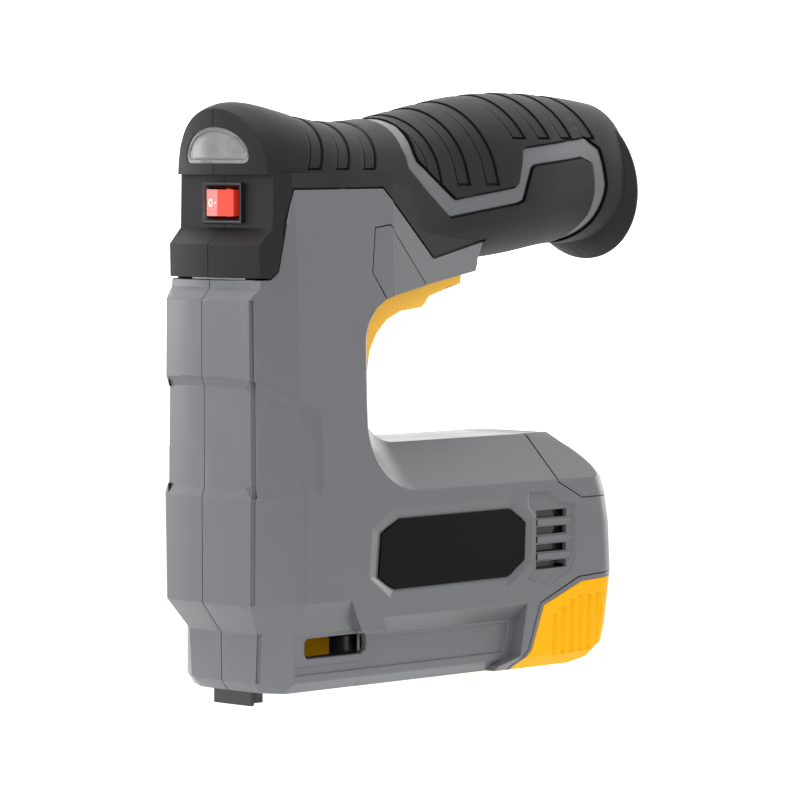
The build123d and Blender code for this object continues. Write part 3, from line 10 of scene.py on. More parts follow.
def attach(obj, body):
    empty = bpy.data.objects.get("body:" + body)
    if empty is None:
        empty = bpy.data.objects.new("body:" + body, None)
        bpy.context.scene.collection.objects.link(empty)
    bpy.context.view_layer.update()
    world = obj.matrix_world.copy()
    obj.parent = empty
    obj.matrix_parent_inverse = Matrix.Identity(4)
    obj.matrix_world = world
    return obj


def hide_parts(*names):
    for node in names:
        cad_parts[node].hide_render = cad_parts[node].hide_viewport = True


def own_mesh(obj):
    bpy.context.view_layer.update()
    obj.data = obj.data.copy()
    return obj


# Cordless stapler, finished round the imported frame. Lengths are metres, in the frame's own axes:
# +X to the back of the stapler, +Z up, and -Y the side with the plate.
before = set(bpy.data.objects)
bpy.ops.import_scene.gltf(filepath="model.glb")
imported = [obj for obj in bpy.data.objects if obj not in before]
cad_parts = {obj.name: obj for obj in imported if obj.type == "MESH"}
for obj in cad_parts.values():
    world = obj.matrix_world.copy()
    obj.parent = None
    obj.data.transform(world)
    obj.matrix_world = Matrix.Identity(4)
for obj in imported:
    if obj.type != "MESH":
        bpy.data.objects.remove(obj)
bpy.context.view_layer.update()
MM = 0.001


# Gear train: sintered steel wheels on ground axles, turned by the motor's pinion. They run dry of any
# finish, with a faint grey bloom and the dull teeth of pressed powder.
class Wire:
    """An output of a shader node that can be used in sums; each sum adds a Math node."""

    def __init__(self, nodes, socket):
        self.nodes = nodes
        self.socket = socket

    def math(self, operation, left, right=0.0):
        return self.nodes.node("ShaderNodeMath", {"operation": operation}, {0: left, 1: right})

    def size(self):
        return self.math("ABSOLUTE", self)

    def root(self):
        return self.math("SQRT", self)

    def at_least(self, limit):
        return self.math("MAXIMUM", self, limit)

    def __add__(self, other):
        return self.math("ADD", self, other)

    def __sub__(self, other):
        return self.math("SUBTRACT", self, other)

    def __rsub__(self, other):
        return self.math("SUBTRACT", other, self)

    def __mul__(self, other):
        return self.math("MULTIPLY", self, other)

    def __lt__(self, other):
        return self.math("LESS_THAN", self, other)

    def __gt__(self, other):
        return self.math("GREATER_THAN", self, other)

    __radd__ = __add__
    __rmul__ = __mul__


class Nodes:
    """A node tree, with one method that adds any node and a few that add common ones."""

    def __init__(self, tree):
        self.tree = tree

    def feed(self, node, values):
        for name, value in values.items():
            if isinstance(value, Wire):
                self.tree.links.new(value.socket, node.inputs[name])
            else:
                node.inputs[name].default_value = value

    def node(self, kind, settings, values, output=0):
        made = self.tree.nodes.new(kind)
        for name, value in settings.items():
            setattr(made, name, value)
        self.feed(made, values)
        return Wire(self, made.outputs[output])

    def place(self, kind="Object"):
        return self.node("ShaderNodeTexCoord", {}, {}, kind)

    def along(self, place, axis):
        return self.node("ShaderNodeSeparateXYZ", {}, {"Vector": place}, axis)

    def noise(self, place, size, detail):
        return self.node("ShaderNodeTexNoise", {}, {"Vector": place, "Scale": 1 / size, "Detail": detail})

    def stretched(self, place, scale):
        return self.node("ShaderNodeMapping", {}, {"Vector": place, "Scale": scale})

    def blend(self, share, low, high):
        return self.node("ShaderNodeMix", {"data_type": "RGBA"}, {0: share, 6: low, 7: high}, 2)

    def bump(self, height, depth):
        return self.node("ShaderNodeBump", {}, {"Height": height, "Distance": depth})


class Finish(Nodes):
    """A material round one Principled shader."""

    def __init__(self, name, **constants):
        self.material = bpy.data.materials.new(name)
        self.material.use_nodes = True
        super().__init__(self.material.node_tree)
        self.shader = self.tree.nodes["Principled BSDF"]
        self.surface(**constants)

    def surface(self, **values):
        self.feed(self.shader, {name.replace("_", " "): value for name, value in values.items()})


TOOL_MARK = 0.25 * MM
METAL_CLOUD = 6 * MM


def shade(colour, factor):
    """A colour made lighter or darker, as a socket takes it."""
    return tuple(channel * factor for channel in colour) + (1.0,)


def worked_metal(name, colour, roughness, scale=(1.0, 1.0, 1.0), depth=0.004 * MM):
    """Bare or plated metal, with its tool marks drawn out along the axes of low scale."""
    finish = Finish(name, Metallic=1.0)
    place = finish.place()
    marks = finish.noise(finish.stretched(place, scale), TOOL_MARK, detail=2.0)
    cloud = finish.noise(place, METAL_CLOUD, detail=3.0)
    finish.surface(Base_Color=finish.blend(cloud, shade(colour, 0.9), shade(colour, 1.08)),
                   Roughness=roughness + 0.18 * (cloud - 0.5) + 0.12 * (marks - 0.5),
                   Normal=finish.bump(marks, depth))
    return finish.material


def coat(material, *nodes):
    """Give a finish to nodes whose CAD shape stays."""
    for node in nodes:
        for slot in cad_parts[node].material_slots:
            slot.material = material


gear_metal = worked_metal("gear_metal", (0.36, 0.35, 0.33), roughness=0.5, depth=0.01 * MM)
axle_steel = worked_metal("axle_steel", (0.55, 0.55, 0.56), roughness=0.28, scale=(8.0, 0.2, 8.0))
coat(gear_metal, "lift_gear", "gear_two", "gear_one", "motor_pinion")
coat(axle_steel, "gear_axles", "motor_shaft")

# Motor: a drawn and lacquered steel can with a black moulded end cap and brush tabs, on a pressed plate
# that screws to posts in the left half. The screws are zinc plated.
JOINT_LINE = 0.14 * MM
MOULD_CLOUD = 14 * MM


def moulded_plastic(name, colour, roughness, grain, depth, mottle=0.04, halved=False, **constants):
    """Plastic from a textured mould: fine grain, a faint cloudiness of tone and gloss, and painted shade in
    slits.

    A piece that is moulded in two halves has a thin dark line of painted shade along their joint as well.
    """
    finish = Finish(name, **constants)
    place = finish.place()
    fine = finish.noise(place, grain, detail=2.0)
    broad = finish.noise(place, MOULD_CLOUD, detail=3.0)
    clean = finish.blend(broad, shade(colour, 1 - mottle), shade(colour, 1 + mottle))
    # painted shade: faces in slits and gaps are painted near black, to stand for the shade that falls in them
    painted_shade = finish.node("ShaderNodeAttribute", {"attribute_name": "painted_shade"}, {}, "Fac")
    if halved:
        # painted shade: a thin dark line along the joint of two halves, standing for the shade in its groove
        painted_shade = painted_shade.at_least(finish.along(place, "Y").size() < JOINT_LINE)
    finish.surface(Base_Color=finish.blend(painted_shade, clean, shade(colour, 0.1)),
                   Roughness=roughness + 0.12 * (broad - 0.5) + 0.06 * (fine - 0.5) + 0.4 * painted_shade,
                   Normal=finish.bump(fine, depth))
    return finish.material


sheet_steel = worked_metal("sheet_steel", (0.56, 0.56, 0.57), roughness=0.34, scale=(0.3, 6.0, 6.0))
zinc_plate = worked_metal("zinc_plate", (0.62, 0.62, 0.60), roughness=0.3, depth=0.003 * MM)
# The can is lacquered near black; this darkness also stands in for the painted shade inside the vents, where
# the can shows through.
black_can_and_vent_shade = worked_metal("black_can_and_vent_shade", (0.016, 0.016, 0.017), roughness=0.5, depth=0.006 * MM)
black_plastic = moulded_plastic("black_plastic", (0.011, 0.011, 0.012), roughness=0.26,
                                grain=0.3 * MM, depth=0.004 * MM)
coat(black_can_and_vent_shade, "motor_can")
coat(sheet_steel, "motor_plate")
coat(black_plastic, "motor_end_cap")
coat(zinc_plate, "motor_screws", "housing_screws")

# Striker: a blackened steel block with a rack on its back, a ground driver blade, the folded guide that
# it slides in, its main spring and the rubber bumper that stops it.
dark_steel = worked_metal("dark_steel", (0.062, 0.064, 0.066), roughness=0.44, depth=0.006 * MM)
blade_steel = worked_metal("blade_steel", (0.60, 0.60, 0.61), roughness=0.22, scale=(6.0, 6.0, 0.25))
spring_steel = worked_metal("spring_steel", (0.45, 0.45, 0.47), roughness=0.3, scale=(3.0, 3.0, 3.0))
bumper_rubber = moulded_plastic("bumper_rubber", (0.03, 0.03, 0.03), roughness=0.65,
                                grain=0.4 * MM, depth=0.02 * MM)


def add_object(name, data):
    """A new object in the scene, at the origin."""
    made = bpy.data.objects.new(name, data)
    bpy.context.scene.collection.objects.link(made)
    return made


def pressed(node, body):
    """A copy of a spring's shape in spring steel, fixed to a body in place of the node."""
    piece = add_object(node + "_coil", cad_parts[node].data.copy())
    piece.data.materials.clear()
    piece.data.materials.append(spring_steel)
    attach(piece, body)
    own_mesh(piece)
    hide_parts(node)


coat(dark_steel, "striker", "spring_seat")
coat(blade_steel, "driver_blade")
coat(sheet_steel, "striker_guide")
coat(bumper_rubber, "bumper")
pressed("main_spring", "tool")

# Nose: a blackened steel block with the drive slot, and the sprung contact plate in front of it. Both
# have their edges broken by hand, so the rounds are small.
OUTSIDE_NODES = ["housing_left", "housing_right", "head_overmold_left", "head_overmold_right",
                 "grip_overmold_left", "grip_overmold_right", "rear_cover", "trigger_bezel", "name_plate",
                 "magazine_cap", "cap_rim", "trigger", "switch_body", "rocker", "led_lens",
                 "nose_block", "safety_nose"]
MOVING_NODES = ["magazine_cap", "cap_rim", "trigger", "rocker", "safety_nose"]
WELD = 2e-6                 # corners closer than this are one
FLAT = radians(0.3)         # faces that turn less than this against each other are one
LOOK_COUNT = 40             # looks that are tried from an edge
LIFT_OFF = 0.25 * MM        # start of a look above its edge
LEAST_RISE = 0.1            # share of a look that leads straight away from its edge
LEAST_TURN = radians(22)    # an edge that turns less isn't rounded
LEAST_ROUND = 0.06 * MM     # a smaller round is left out
STRAIGHT_ON = radians(172)  # an edge that goes on like this leaves its neighbour's round alone
ONE_ROUND = 1.05            # room that a round takes on a face, as a share of its radius
TWO_ROUNDS = 2.1            # the same for two rounds that face each other
NO_TURN = 0.01              # keeps the room of two edges in line finite
CREASE = radians(9.5)       # an unrounded edge that turns more is sharp
LEAST_FOLD = radians(0.7)   # so is one that turns this much between broad faces
BROAD = 4.5 * MM
STEEP = radians(50)         # any edge that turns more after the rounding is sharp
ATTEMPTS = 8                # passes that take back rounds gone wrong
STRAY_SHARE = 0.32          # a round may leave the shape by this share of its radius
LEAST_AREA = 1e-12
TURNED_OVER = -0.1
SIDE_LOOKS = 6              # looks round a face for walls that would shade it, so that it is painted dark
LOOK_OUT, LOOK_ASIDE = 0.5, 0.866
NEAR = 1.2 * MM             # how far those looks reach
CLEAR_OF_FACE = 0.04 * MM


def joined(nodes):
    """The triangles of some nodes in one mesh."""
    whole = bmesh.new()
    for node in nodes:
        whole.from_mesh(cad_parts[node].data)
    return whole


def spread(count):
    """Directions spread evenly over a sphere, on a spiral."""
    directions = []
    for number in range(count):
        height = 1 - 2 * (number + 0.5) / count
        turn = number * pi * (3 - sqrt(5))
        ring = sqrt(1 - height * height)
        directions.append(Vector((ring * cos(turn), ring * sin(turn), height)))
    return directions


LOOKS = spread(LOOK_COUNT)
tool_skin = BVHTree.FromBMesh(joined(OUTSIDE_NODES))
fixed_skin = BVHTree.FromBMesh(joined([node for node in OUTSIDE_NODES if node not in MOVING_NODES]))


def joined_copy(node):
    """The node's triangles as one closed mesh, with flat stretches merged into single faces."""
    shape = joined([node])
    bmesh.ops.remove_doubles(shape, verts=shape.verts, dist=WELD)
    bmesh.ops.dissolve_limit(shape, angle_limit=FLAT, use_dissolve_boundaries=False,
                             verts=shape.verts, edges=shape.edges, delimit=set())
    return shape


def middle_of(edge):
    return (edge.verts[0].co + edge.verts[1].co) / 2


def shows(edge):
    """True if a straight look from the edge leaves the stapler without meeting it."""
    normal = sum((face.normal for face in edge.link_faces), Vector()).normalized()
    start = middle_of(edge) + normal * LIFT_OFF
    for look in LOOKS:
        if look.dot(normal) > LEAST_RISE and tool_skin.ray_cast(start, look)[0] is None:
            return True
    return False


def off_segment(point, edge):
    """Distance from a point to an edge."""
    first, last = (vert.co for vert in edge.verts)
    foot, share = intersect_point_line(point, first, last)
    if share <= 0:
        return (point - first).length
    if share >= 1:
        return (point - last).length
    return (point - foot).length


def room_beside(edge, face, rounded):
    """Largest round that an edge can take on one of its faces without meeting the face's other edges."""
    first, last = edge.verts
    samples = [first.co.lerp(last.co, share) for share in (0.0, 0.25, 0.5, 0.75, 1.0)]
    room = 1.0
    for other in face.edges:
        if other is edge:
            continue
        meeting = [vert for vert in edge.verts if vert in other.verts]
        if meeting:
            corner = meeting[0]
            course = edge.other_vert(corner).co - corner.co
            away = other.other_vert(corner).co - corner.co
            turn = course.angle(away)
            if other in rounded:
                reach = min(edge.calc_length(), other.calc_length())
                room = min(room, reach / (TWO_ROUNDS * tan((pi - turn) / 2) + NO_TURN))
            elif turn < STRAIGHT_ON:
                room = min(room, other.calc_length() * sin(turn) / ONE_ROUND)
        else:
            gap = min(off_segment(point, other) for point in samples)
            gap = min([gap] + [off_segment(vert.co, edge) for vert in other.verts])
            room = min(room, gap / (TWO_ROUNDS if other in rounded else ONE_ROUND))
    return room


def weigh_edges(shape, largest, radius_of):
    """Weight each outer edge for rounding, by its own radius and by the room on its faces."""
    weights = shape.edges.layers.float.new("bevel_weight_edge")
    sharp = {edge for edge in shape.edges if edge.is_manifold and edge.is_convex
             and edge.calc_face_angle(0) > LEAST_TURN and shows(edge)}
    for edge in sharp:
        room = min(room_beside(edge, face, sharp) for face in edge.link_faces)
        radius = min(room, radius_of(edge))
        edge[weights] = radius / largest if radius > LEAST_ROUND else 0.0
    corners = shape.verts.layers.int.new("corner")
    for number, vert in enumerate(shape.verts):
        vert[corners] = number


def folds(edge):
    """True for an edge between two flat faces, and false for one inside a curved surface."""
    if not edge.is_manifold:
        return False
    turn = edge.calc_face_angle(0)
    narrow = min(face.calc_area() for face in edge.link_faces) / edge.calc_length()
    return turn > CREASE or (turn > LEAST_FOLD and narrow > BROAD)


def strays(piece, skin, limit):
    """Corners whose rounding stands off the shape or turns a face over."""
    bpy.context.view_layer.update()
    view = piece.evaluated_get(bpy.context.evaluated_depsgraph_get())
    result = view.to_mesh()
    corner_of = [value.value for value in result.attributes["corner"].data]
    found = {corner_of[vert.index] for vert in result.vertices if skin.find_nearest(vert.co)[3] > limit}
    for face in result.polygons:
        normal = skin.find_nearest(face.center)[1]
        if face.area > LEAST_AREA and face.normal.dot(normal) < TURNED_OVER:
            found.update(corner_of[number] for number in face.vertices)
    view.to_mesh_clear()
    return found


def round_edges(piece, skin, radius):
    """Round the weighted edges with a modifier, and take back the rounds that go wrong."""
    rounding = piece.modifiers.new("rounding", "BEVEL")
    rounding.limit_method = "WEIGHT"
    rounding.width = radius
    rounding.segments = 2
    rounding.profile = 0.5
    rounding.use_clamp_overlap = False
    mesh = piece.data
    for attempt in range(ATTEMPTS):
        found = strays(piece, skin, STRAY_SHARE * radius)
        if not found:
            break
        weights = mesh.attributes["bevel_weight_edge"].data
        for edge in mesh.edges:
            if found & set(edge.vertices):
                weights[edge.index].value = 0.0
        mesh.update()


def keep_rounding(piece, crease, low, high):
    """Make the rounded mesh the piece's own, inside the node's box and sharp at its folds."""
    mesh = piece.data
    weights = mesh.attributes["bevel_weight_edge"].data
    for edge in mesh.edges:
        edge.use_edge_sharp = crease[edge.index] and weights[edge.index].value == 0
    mesh.update()
    bpy.context.view_layer.update()
    view = piece.evaluated_get(bpy.context.evaluated_depsgraph_get())
    piece.data = bpy.data.meshes.new_from_object(view)
    piece.modifiers.clear()
    finished = bmesh.new()
    finished.from_mesh(piece.data)
    for vert in finished.verts:
        for axis in range(3):
            vert.co[axis] = min(max(vert.co[axis], low[axis]), high[axis])
    for edge in finished.edges:
        if edge.calc_face_angle(0) > STEEP:
            edge.smooth = False
    finished.to_mesh(piece.data)
    finished.free()
    even = piece.modifiers.new("even_faces", "WEIGHTED_NORMAL")
    even.mode = "FACE_AREA_WITH_ANGLE"
    even.keep_sharp = True


def meets_wall(start, look):
    """True if another wall faces a point close by."""
    place, normal, _, _ = fixed_skin.ray_cast(start, look, NEAR)
    return place is not None and normal.dot(look) < 0


def painted_shade_on(face, cover):
    """How dark a face is painted for shade: fully in a slit or where a cover lies on it, not at all in the
    open.
    """
    start = face.center + face.normal * CLEAR_OF_FACE
    if meets_wall(start, face.normal) or (cover and cover.find_nearest(face.center)[3] < CLEAR_OF_FACE):
        return 1.0
    across = face.normal.orthogonal()
    met = 0
    for number in range(SIDE_LOOKS):
        sideways = Quaternion(face.normal, 2 * pi * number / SIDE_LOOKS) @ across
        met += meets_wall(start, face.normal * LOOK_OUT + sideways * LOOK_ASIDE)
    return max(met - SIDE_LOOKS + 2, 0) / 2


def rounded(node, material, body, slot, radius, radius_of=None, mend=None, cover=None):
    """A node's shape with its outer edges rounded, as a piece that stands for the node."""
    corners = [vert.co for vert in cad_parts[node].data.vertices]
    low = [min(corner[axis] for corner in corners) for axis in range(3)]
    high = [max(corner[axis] for corner in corners) for axis in range(3)]
    shape = joined_copy(node)
    if mend:
        mend(shape)
    skin = BVHTree.FromBMesh(shape)
    weigh_edges(shape, radius, radius_of or (lambda edge: radius))
    crease = [folds(edge) for edge in shape.edges]
    for face in shape.faces:
        face.smooth = True
    mesh = bpy.data.meshes.new(node + "_shell")
    shape.to_mesh(mesh)
    shape.free()
    mesh.materials.append(material)
    piece = add_object(mesh.name, mesh)
    round_edges(piece, skin, radius)
    keep_rounding(piece, crease, low, high)
    # painted shade: faces of fixed pieces in slits, or under a cover, are marked for dark paint
    if node not in MOVING_NODES:
        painted_shade = piece.data.attributes.new("painted_shade", "FLOAT", "FACE")
        painted_shade.data.foreach_set("value", [painted_shade_on(face, cover) for face in piece.data.polygons])
    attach(piece, body)
    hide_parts(node)


rounded("nose_block", dark_steel, "tool", "dark_steel", radius=0.3 * MM)
rounded("safety_nose", dark_steel, "safety", "dark_steel", radius=0.3 * MM)
pressed("safety_spring", "tool")

# Magazine: a folded steel channel in the housing, a steel rail that slides out with the cap, and the
# yellow pusher that a long spring drives along it. The cap is satin plastic behind a grey rim.
GREY = (0.112, 0.116, 0.123)
grey_plastic = moulded_plastic("grey_plastic", GREY, roughness=0.32, grain=0.35 * MM, depth=0.010 * MM)
yellow_plastic = moulded_plastic("yellow_plastic", (0.80, 0.39, 0.004), roughness=0.36, grain=0.35 * MM,
                                 depth=0.008 * MM, mottle=0.03, Specular_IOR_Level=0.06)
coat(sheet_steel, "staple_channel", "magazine_rail")
rounded("pusher", yellow_plastic, "pusher", "yellow_plastic", radius=0.3 * MM)
rounded("magazine_cap", yellow_plastic, "magazine", "yellow_plastic", radius=0.5 * MM)
rounded("cap_rim", grey_plastic, "magazine", "grey_plastic", radius=0.25 * MM)
pressed("pusher_spring", "magazine")

# Trigger: a glossy yellow moulding on two trunnions, over a small snap switch with its plunger and a
# return spring. Its edges are well rounded for the finger.
# The trigger's yellow is a lighter, glossier copy of the cap's yellow: painted light, so that it looks as
# bright as the cap though it sits in the shade of the hand opening.
lit_trigger_yellow = moulded_plastic("lit_trigger_yellow", (0.95, 0.5, 0.02), roughness=0.3, grain=0.35 * MM,
                                 depth=0.006 * MM, mottle=0.03)
rounded("trigger", lit_trigger_yellow, "trigger", "yellow_plastic", radius=0.8 * MM)
coat(black_plastic, "trigger_switch", "switch_plunger")
pressed("trigger_spring", "tool")

# Cell and boards: one round cell in blue shrink film with nickel tabs, green boards with a solder mask
# and the plated socket at the end of the grip.
TRACK_SIZE = 1.6 * MM
TRACK_LEVEL = 0.52


def solder_mask(name, colour):
    """Lacquered board: the copper under the lacquer shows as faint straight tracks."""
    finish = Finish(name, Roughness=0.3)
    place = finish.place()
    tracks = finish.noise(finish.stretched(place, (1.0, 5.0, 1.0)), TRACK_SIZE, detail=0.0)
    copper = (tracks > TRACK_LEVEL) * 0.35
    finish.surface(Base_Color=finish.blend(copper, shade(colour, 0.85), shade(colour, 1.8)),
                   Normal=finish.bump(copper, depth=0.03 * MM))
    return finish.material


cell_wrap = moulded_plastic("cell_wrap", (0.03, 0.13, 0.36), roughness=0.25, grain=1.2 * MM, depth=0.01 * MM)
nickel = worked_metal("nickel", (0.68, 0.67, 0.63), roughness=0.26, scale=(4.0, 0.4, 4.0))
board_green = solder_mask("board_green", (0.016, 0.12, 0.045))
board_white = solder_mask("board_white", (0.62, 0.62, 0.60))
coat(cell_wrap, "battery_cell")
coat(nickel, "battery_tabs", "charge_socket")
coat(board_green, "control_board", "charge_board")

# Housing halves: two shells of glass-filled nylon, moulded with a fine spark-eroded grain, that meet on
# the middle plane and are held by eight screws.
SOFT_NODES = ["head_overmold_left", "head_overmold_right", "grip_overmold_left", "grip_overmold_right"]
soft_skin = BVHTree.FromBMesh(joined(SOFT_NODES))
BESIDE_SOFT = 0.9 * MM
ON_PLANE = 0.001 * MM
HAND_X, HAND_Z = (24 * MM, 60 * MM), (78 * MM, 113 * MM)
HAND_LEAST_Y = 17 * MM
HAND_ROUND = 2.4 * MM
VENT_X, VENT_Z = (92 * MM, 110 * MM), (34 * MM, 60 * MM)
# Where the slopes of the waist rim meet at its bends, in millimetres, and how far their ends overrun
RIM_MITRES = [((1.5, 23.123, 83.5), 2.8), ((1.88, 22.46, 81.35), 2.8),
              ((1.5, 25.0, 57.5), 2.1), ((1.8, 23.907, 60.457), 2.1)]


def on_joint(edge):
    """True if an edge lies where the two halves meet."""
    return all(abs(vert.co.y) < ON_PLANE for vert in edge.verts)


def shell_round(edge):
    """Rounds of a housing half: fine on the joint and in the vents, wide round the hand opening."""
    if on_joint(edge):
        return 0.16 * MM
    middle = middle_of(edge)
    if soft_skin.find_nearest(middle)[3] < BESIDE_SOFT:
        return 0.35 * MM
    if VENT_X[0] < middle.x < VENT_X[1] and VENT_Z[0] < middle.z < VENT_Z[1]:
        return 0.12 * MM
    beside_hand = HAND_X[0] < middle.x < HAND_X[1] and HAND_Z[0] < middle.z < HAND_Z[1]
    if beside_hand and abs(middle.y) > HAND_LEAST_Y:
        return HAND_ROUND
    return 0.4 * MM


def mitred(shape):
    """Bring the overrunning ends of the waist rim's slopes together at its bends."""
    for mirror in (1, -1):
        ends = [Vector((x, y * mirror, z)) * MM for (x, y, z), reach in RIM_MITRES]
        for end, (point, reach) in zip(ends, RIM_MITRES):
            nearer = [vert for vert in shape.verts if (vert.co - end).length < reach * MM
                      and all((vert.co - end).length <= (vert.co - rival).length for rival in ends)]
            bmesh.ops.connect_verts(shape, verts=nearer)
            for vert in nearer:
                vert.co = end
            bmesh.ops.remove_doubles(shape, verts=nearer, dist=WELD)


shell_grey = moulded_plastic("shell_grey", GREY, roughness=0.32, grain=0.35 * MM, depth=0.010 * MM,
                             halved=True)
for side in ("left", "right"):
    rounded("housing_" + side, shell_grey, "tool", "grey_plastic", radius=HAND_ROUND,
            radius_of=shell_round, mend=mitred, cover=soft_skin)

# Soft overmould over the head and the grip: black thermoplastic rubber, shot over the hard shell in the
# same mould, dull and slightly grained.
soft_black = moulded_plastic("soft_black", (0.0125, 0.0125, 0.013), roughness=0.5, grain=0.22 * MM,
                             depth=0.012 * MM, halved=True, Specular_IOR_Level=0.2)


def soft_round(edge):
    """Rounds of the overmould, fine where the two halves meet."""
    return 0.1 * MM if on_joint(edge) else 0.14 * MM


for node in SOFT_NODES:
    rounded(node, soft_black, "tool", "soft_black", radius=0.3 * MM, radius_of=soft_round)

# Covers let into the shell: the rear cover over the end of the arm and the two cheeks of the trigger
# bezel. They are moulded of the same grey nylon as the halves and sit flush in their pockets.
for node in ("rear_cover", "trigger_bezel"):
    rounded(node, grey_plastic, "tool", "grey_plastic", radius=0.25 * MM)

# Name plate: a bare satin black sheet with cut corners, set into the bevelled pocket on the side of the
# arm. Nothing is printed on it.
plate_black = moulded_plastic("plate_black", (0.003, 0.003, 0.0034), roughness=0.4, grain=0.2 * MM,
                              depth=0.003 * MM, Specular_IOR_Level=0.07)
rounded("name_plate", plate_black, "tool", "plate_black", radius=0.2 * MM)

# Switch: a glossy black frame snapped into the head, with a red rocker that tilts in it. The rocker's
# left half is printed with a white ring for off and a short tick.
RED = (0.76, 0.040, 0.018)
WHITE_INK = (0.9, 0.9, 0.88, 1.0)
OFF_Y, TICK_Y, MARK_Z = 3.6 * MM, 1.1 * MM, 137.2 * MM
RING_INSIDE, RING_OUTSIDE = 0.62 * MM, 0.98 * MM
RING_FLATTENED = 0.72
TICK_HALF_Y, TICK_HALF_Z = 0.4 * MM, 0.16 * MM


def marked_rocker():
    """Glossy red plastic with a ring and a short tick printed on its left half."""
    finish = Finish("red_plastic")
    place = finish.place()
    across = finish.along(place, "Y")
    upward = finish.along(place, "Z") - MARK_Z
    aside = across - OFF_Y
    away = (aside * aside + upward * upward * RING_FLATTENED).root()
    ring = (away > RING_INSIDE) * (away < RING_OUTSIDE)
    tick = ((across - TICK_Y).size() < TICK_HALF_Y) * (upward.size() < TICK_HALF_Z)
    cloud = finish.noise(place, 5 * MM, detail=2.0)
    red = finish.blend(cloud, shade(RED, 0.96), shade(RED, 1.04))
    finish.surface(Base_Color=finish.blend(ring + tick, red, WHITE_INK), Roughness=0.24 + 0.1 * (cloud - 0.5))
    return finish.material


rounded("switch_body", black_plastic, "tool", "black_plastic", radius=0.4 * MM)
rounded("rocker", marked_rocker(), "rocker", "red_plastic", radius=0.25 * MM)

# Work light: a moulded lens with a faintly frosted skin and a let-in front, held under the brow of the
# head, in front of a small lamp of clear epoxy on a white board.
FACES_FRONT = -0.3
BORDER = 1.1 * MM
STEP_WIDTH, STEP_DEPTH = 0.2 * MM, 0.3 * MM
clear_lens = Finish("clear_lens", Base_Color=(0.84, 0.85, 0.86, 1), IOR=1.49, Transmission_Weight=0.9)
frost = clear_lens.noise(clear_lens.place(), 0.3 * MM, detail=2.0)
clear_lens.surface(Roughness=0.2 + 0.1 * frost, Normal=clear_lens.bump(frost, depth=0.006 * MM))
led_epoxy = Finish("led_epoxy", Base_Color=(0.95, 0.93, 0.85, 1), IOR=1.5, Transmission_Weight=0.7)
haze = led_epoxy.noise(led_epoxy.place(), 1.0 * MM, detail=2.0)
led_epoxy.surface(Roughness=0.1 + 0.15 * haze)


def stepped(shape):
    """Let the middle of the lens's front in behind a flat border."""
    front = [face for face in shape.faces if face.normal.x < FACES_FRONT]
    bmesh.ops.inset_region(shape, faces=front, thickness=BORDER, use_even_offset=False)
    bmesh.ops.inset_region(shape, faces=front, thickness=STEP_WIDTH, depth=-STEP_DEPTH, use_even_offset=False)


rounded("led_lens", clear_lens.material, "tool", "clear_lens", radius=0.3 * MM, mend=stepped)
coat(led_epoxy.material, "led")
coat(board_white, "led_board")

# Stage: a round pale floor that glows under the stapler like a light table, a white studio with less
# light from the side of the plate, five soft lights, and the camera.
FLOOR_RADIUS = 1.1
GLOW_X, GLOW_RADIUS = 45 * MM, 130 * MM
GLOW_STRETCH = 0.6
AIM = Vector((34.2, -28.6, 83.1)) * MM
AZIMUTH, ELEVATION, DISTANCE = -45.75, 3.14, 1.2496

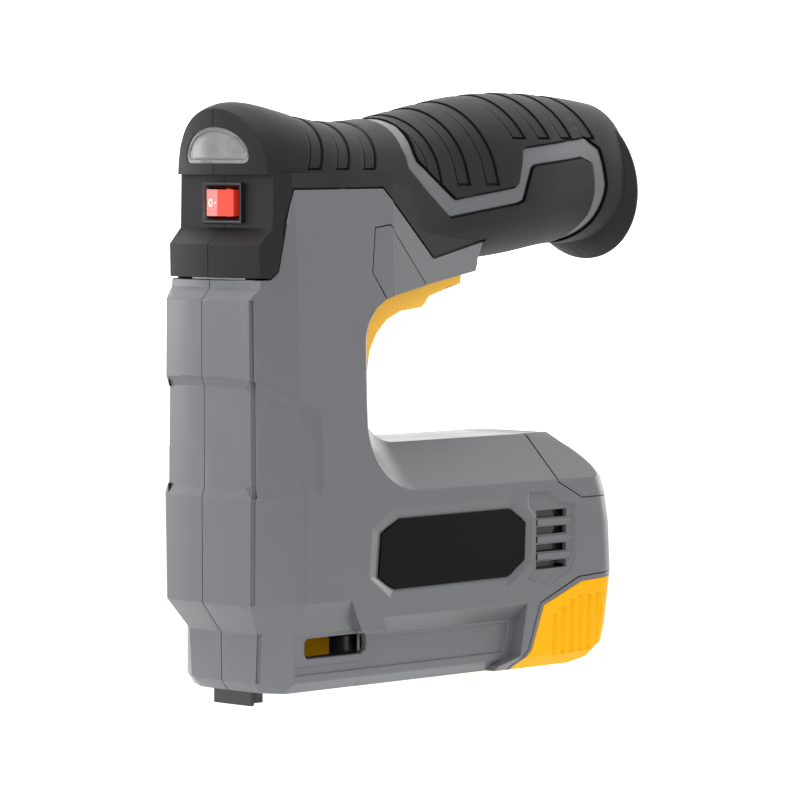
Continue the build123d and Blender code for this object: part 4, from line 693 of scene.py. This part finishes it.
floor_shape = bmesh.new()
bmesh.ops.create_circle(floor_shape, cap_ends=True, segments=96, radius=FLOOR_RADIUS)
floor_mesh = bpy.data.meshes.new("floor")
floor_shape.to_mesh(floor_mesh)
floor_shape.free()
light_table = Finish("light_table", Base_Color=(0.42, 0.42, 0.42, 1), Roughness=0.9, Emission_Strength=1.2)
on_floor = light_table.place()
lengthwise = GLOW_STRETCH * (light_table.along(on_floor, "X") - GLOW_X)
crosswise = light_table.along(on_floor, "Y")
off_centre = (lengthwise * lengthwise + crosswise * crosswise).root()
glow = (1 - off_centre * (1 / GLOW_RADIUS)).at_least(0.0)
light_table.surface(Emission_Color=light_table.blend(glow, (0.25, 0.25, 0.25, 1), (1, 1, 1, 1)))
floor_mesh.materials.append(light_table.material)
floor = add_object("floor", floor_mesh)

world = bpy.data.worlds.new("studio")
world.use_nodes = True
sky = Nodes(world.node_tree)
direction = sky.place("Generated")
backward, leftward, upward = (sky.along(direction, axis) for axis in "XYZ")
shadow_side = (leftward * -1.0).at_least(0.0)
backdrop = (0.7 * (backward + leftward)).at_least(0.0)
overhead = upward.at_least(0.0)
strength = 1.5 - 0.75 * shadow_side + 0.6 * backdrop - 0.6 * overhead
sky.feed(world.node_tree.nodes["Background"], {"Color": (1.0, 1.0, 1.0, 1.0), "Strength": strength})
bpy.context.scene.world = world
bpy.context.scene.view_settings.view_transform = "Standard"


def seen_from(azimuth, elevation):
    """Direction from the stapler to a place round it, given in degrees."""
    turn, rise = radians(azimuth), radians(elevation)
    return Vector((sin(turn) * cos(rise), -cos(turn) * cos(rise), sin(rise)))


def softbox(name, azimuth, elevation, distance, size, power):
    """Square light that faces the stapler from a direction given as for a camera."""
    lamp = bpy.data.lights.new(name, "AREA")
    lamp.shape = "SQUARE"
    lamp.size = size
    lamp.energy = power
    back = seen_from(azimuth, elevation)
    light = add_object(name, lamp)
    light.location = AIM + back * distance
    light.rotation_euler = back.to_track_quat("Z", "Y").to_euler()


softbox("top_light", azimuth=-60, elevation=88, distance=1.5, size=2.2, power=24)
softbox("front_light", azimuth=-46, elevation=12, distance=1.8, size=0.6, power=7.0)
softbox("left_light", azimuth=-105, elevation=15, distance=1.6, size=0.8, power=3.0)
softbox("back_light", azimuth=82, elevation=8, distance=1.6, size=0.8, power=5.0)
softbox("rim_light", azimuth=-157, elevation=6, distance=1.6, size=0.4, power=2.0)

camera_data = bpy.data.cameras.new("camera")
camera_data.sensor_width = 36.0
camera_data.lens = 205.2
camera = add_object("camera", camera_data)
camera_side = seen_from(AZIMUTH, ELEVATION)
camera.location = AIM + camera_side * DISTANCE
camera.rotation_mode = "QUATERNION"
camera.rotation_quaternion = (-camera_side).to_track_quat("-Z", "Y")
bpy.context.scene.camera = camera
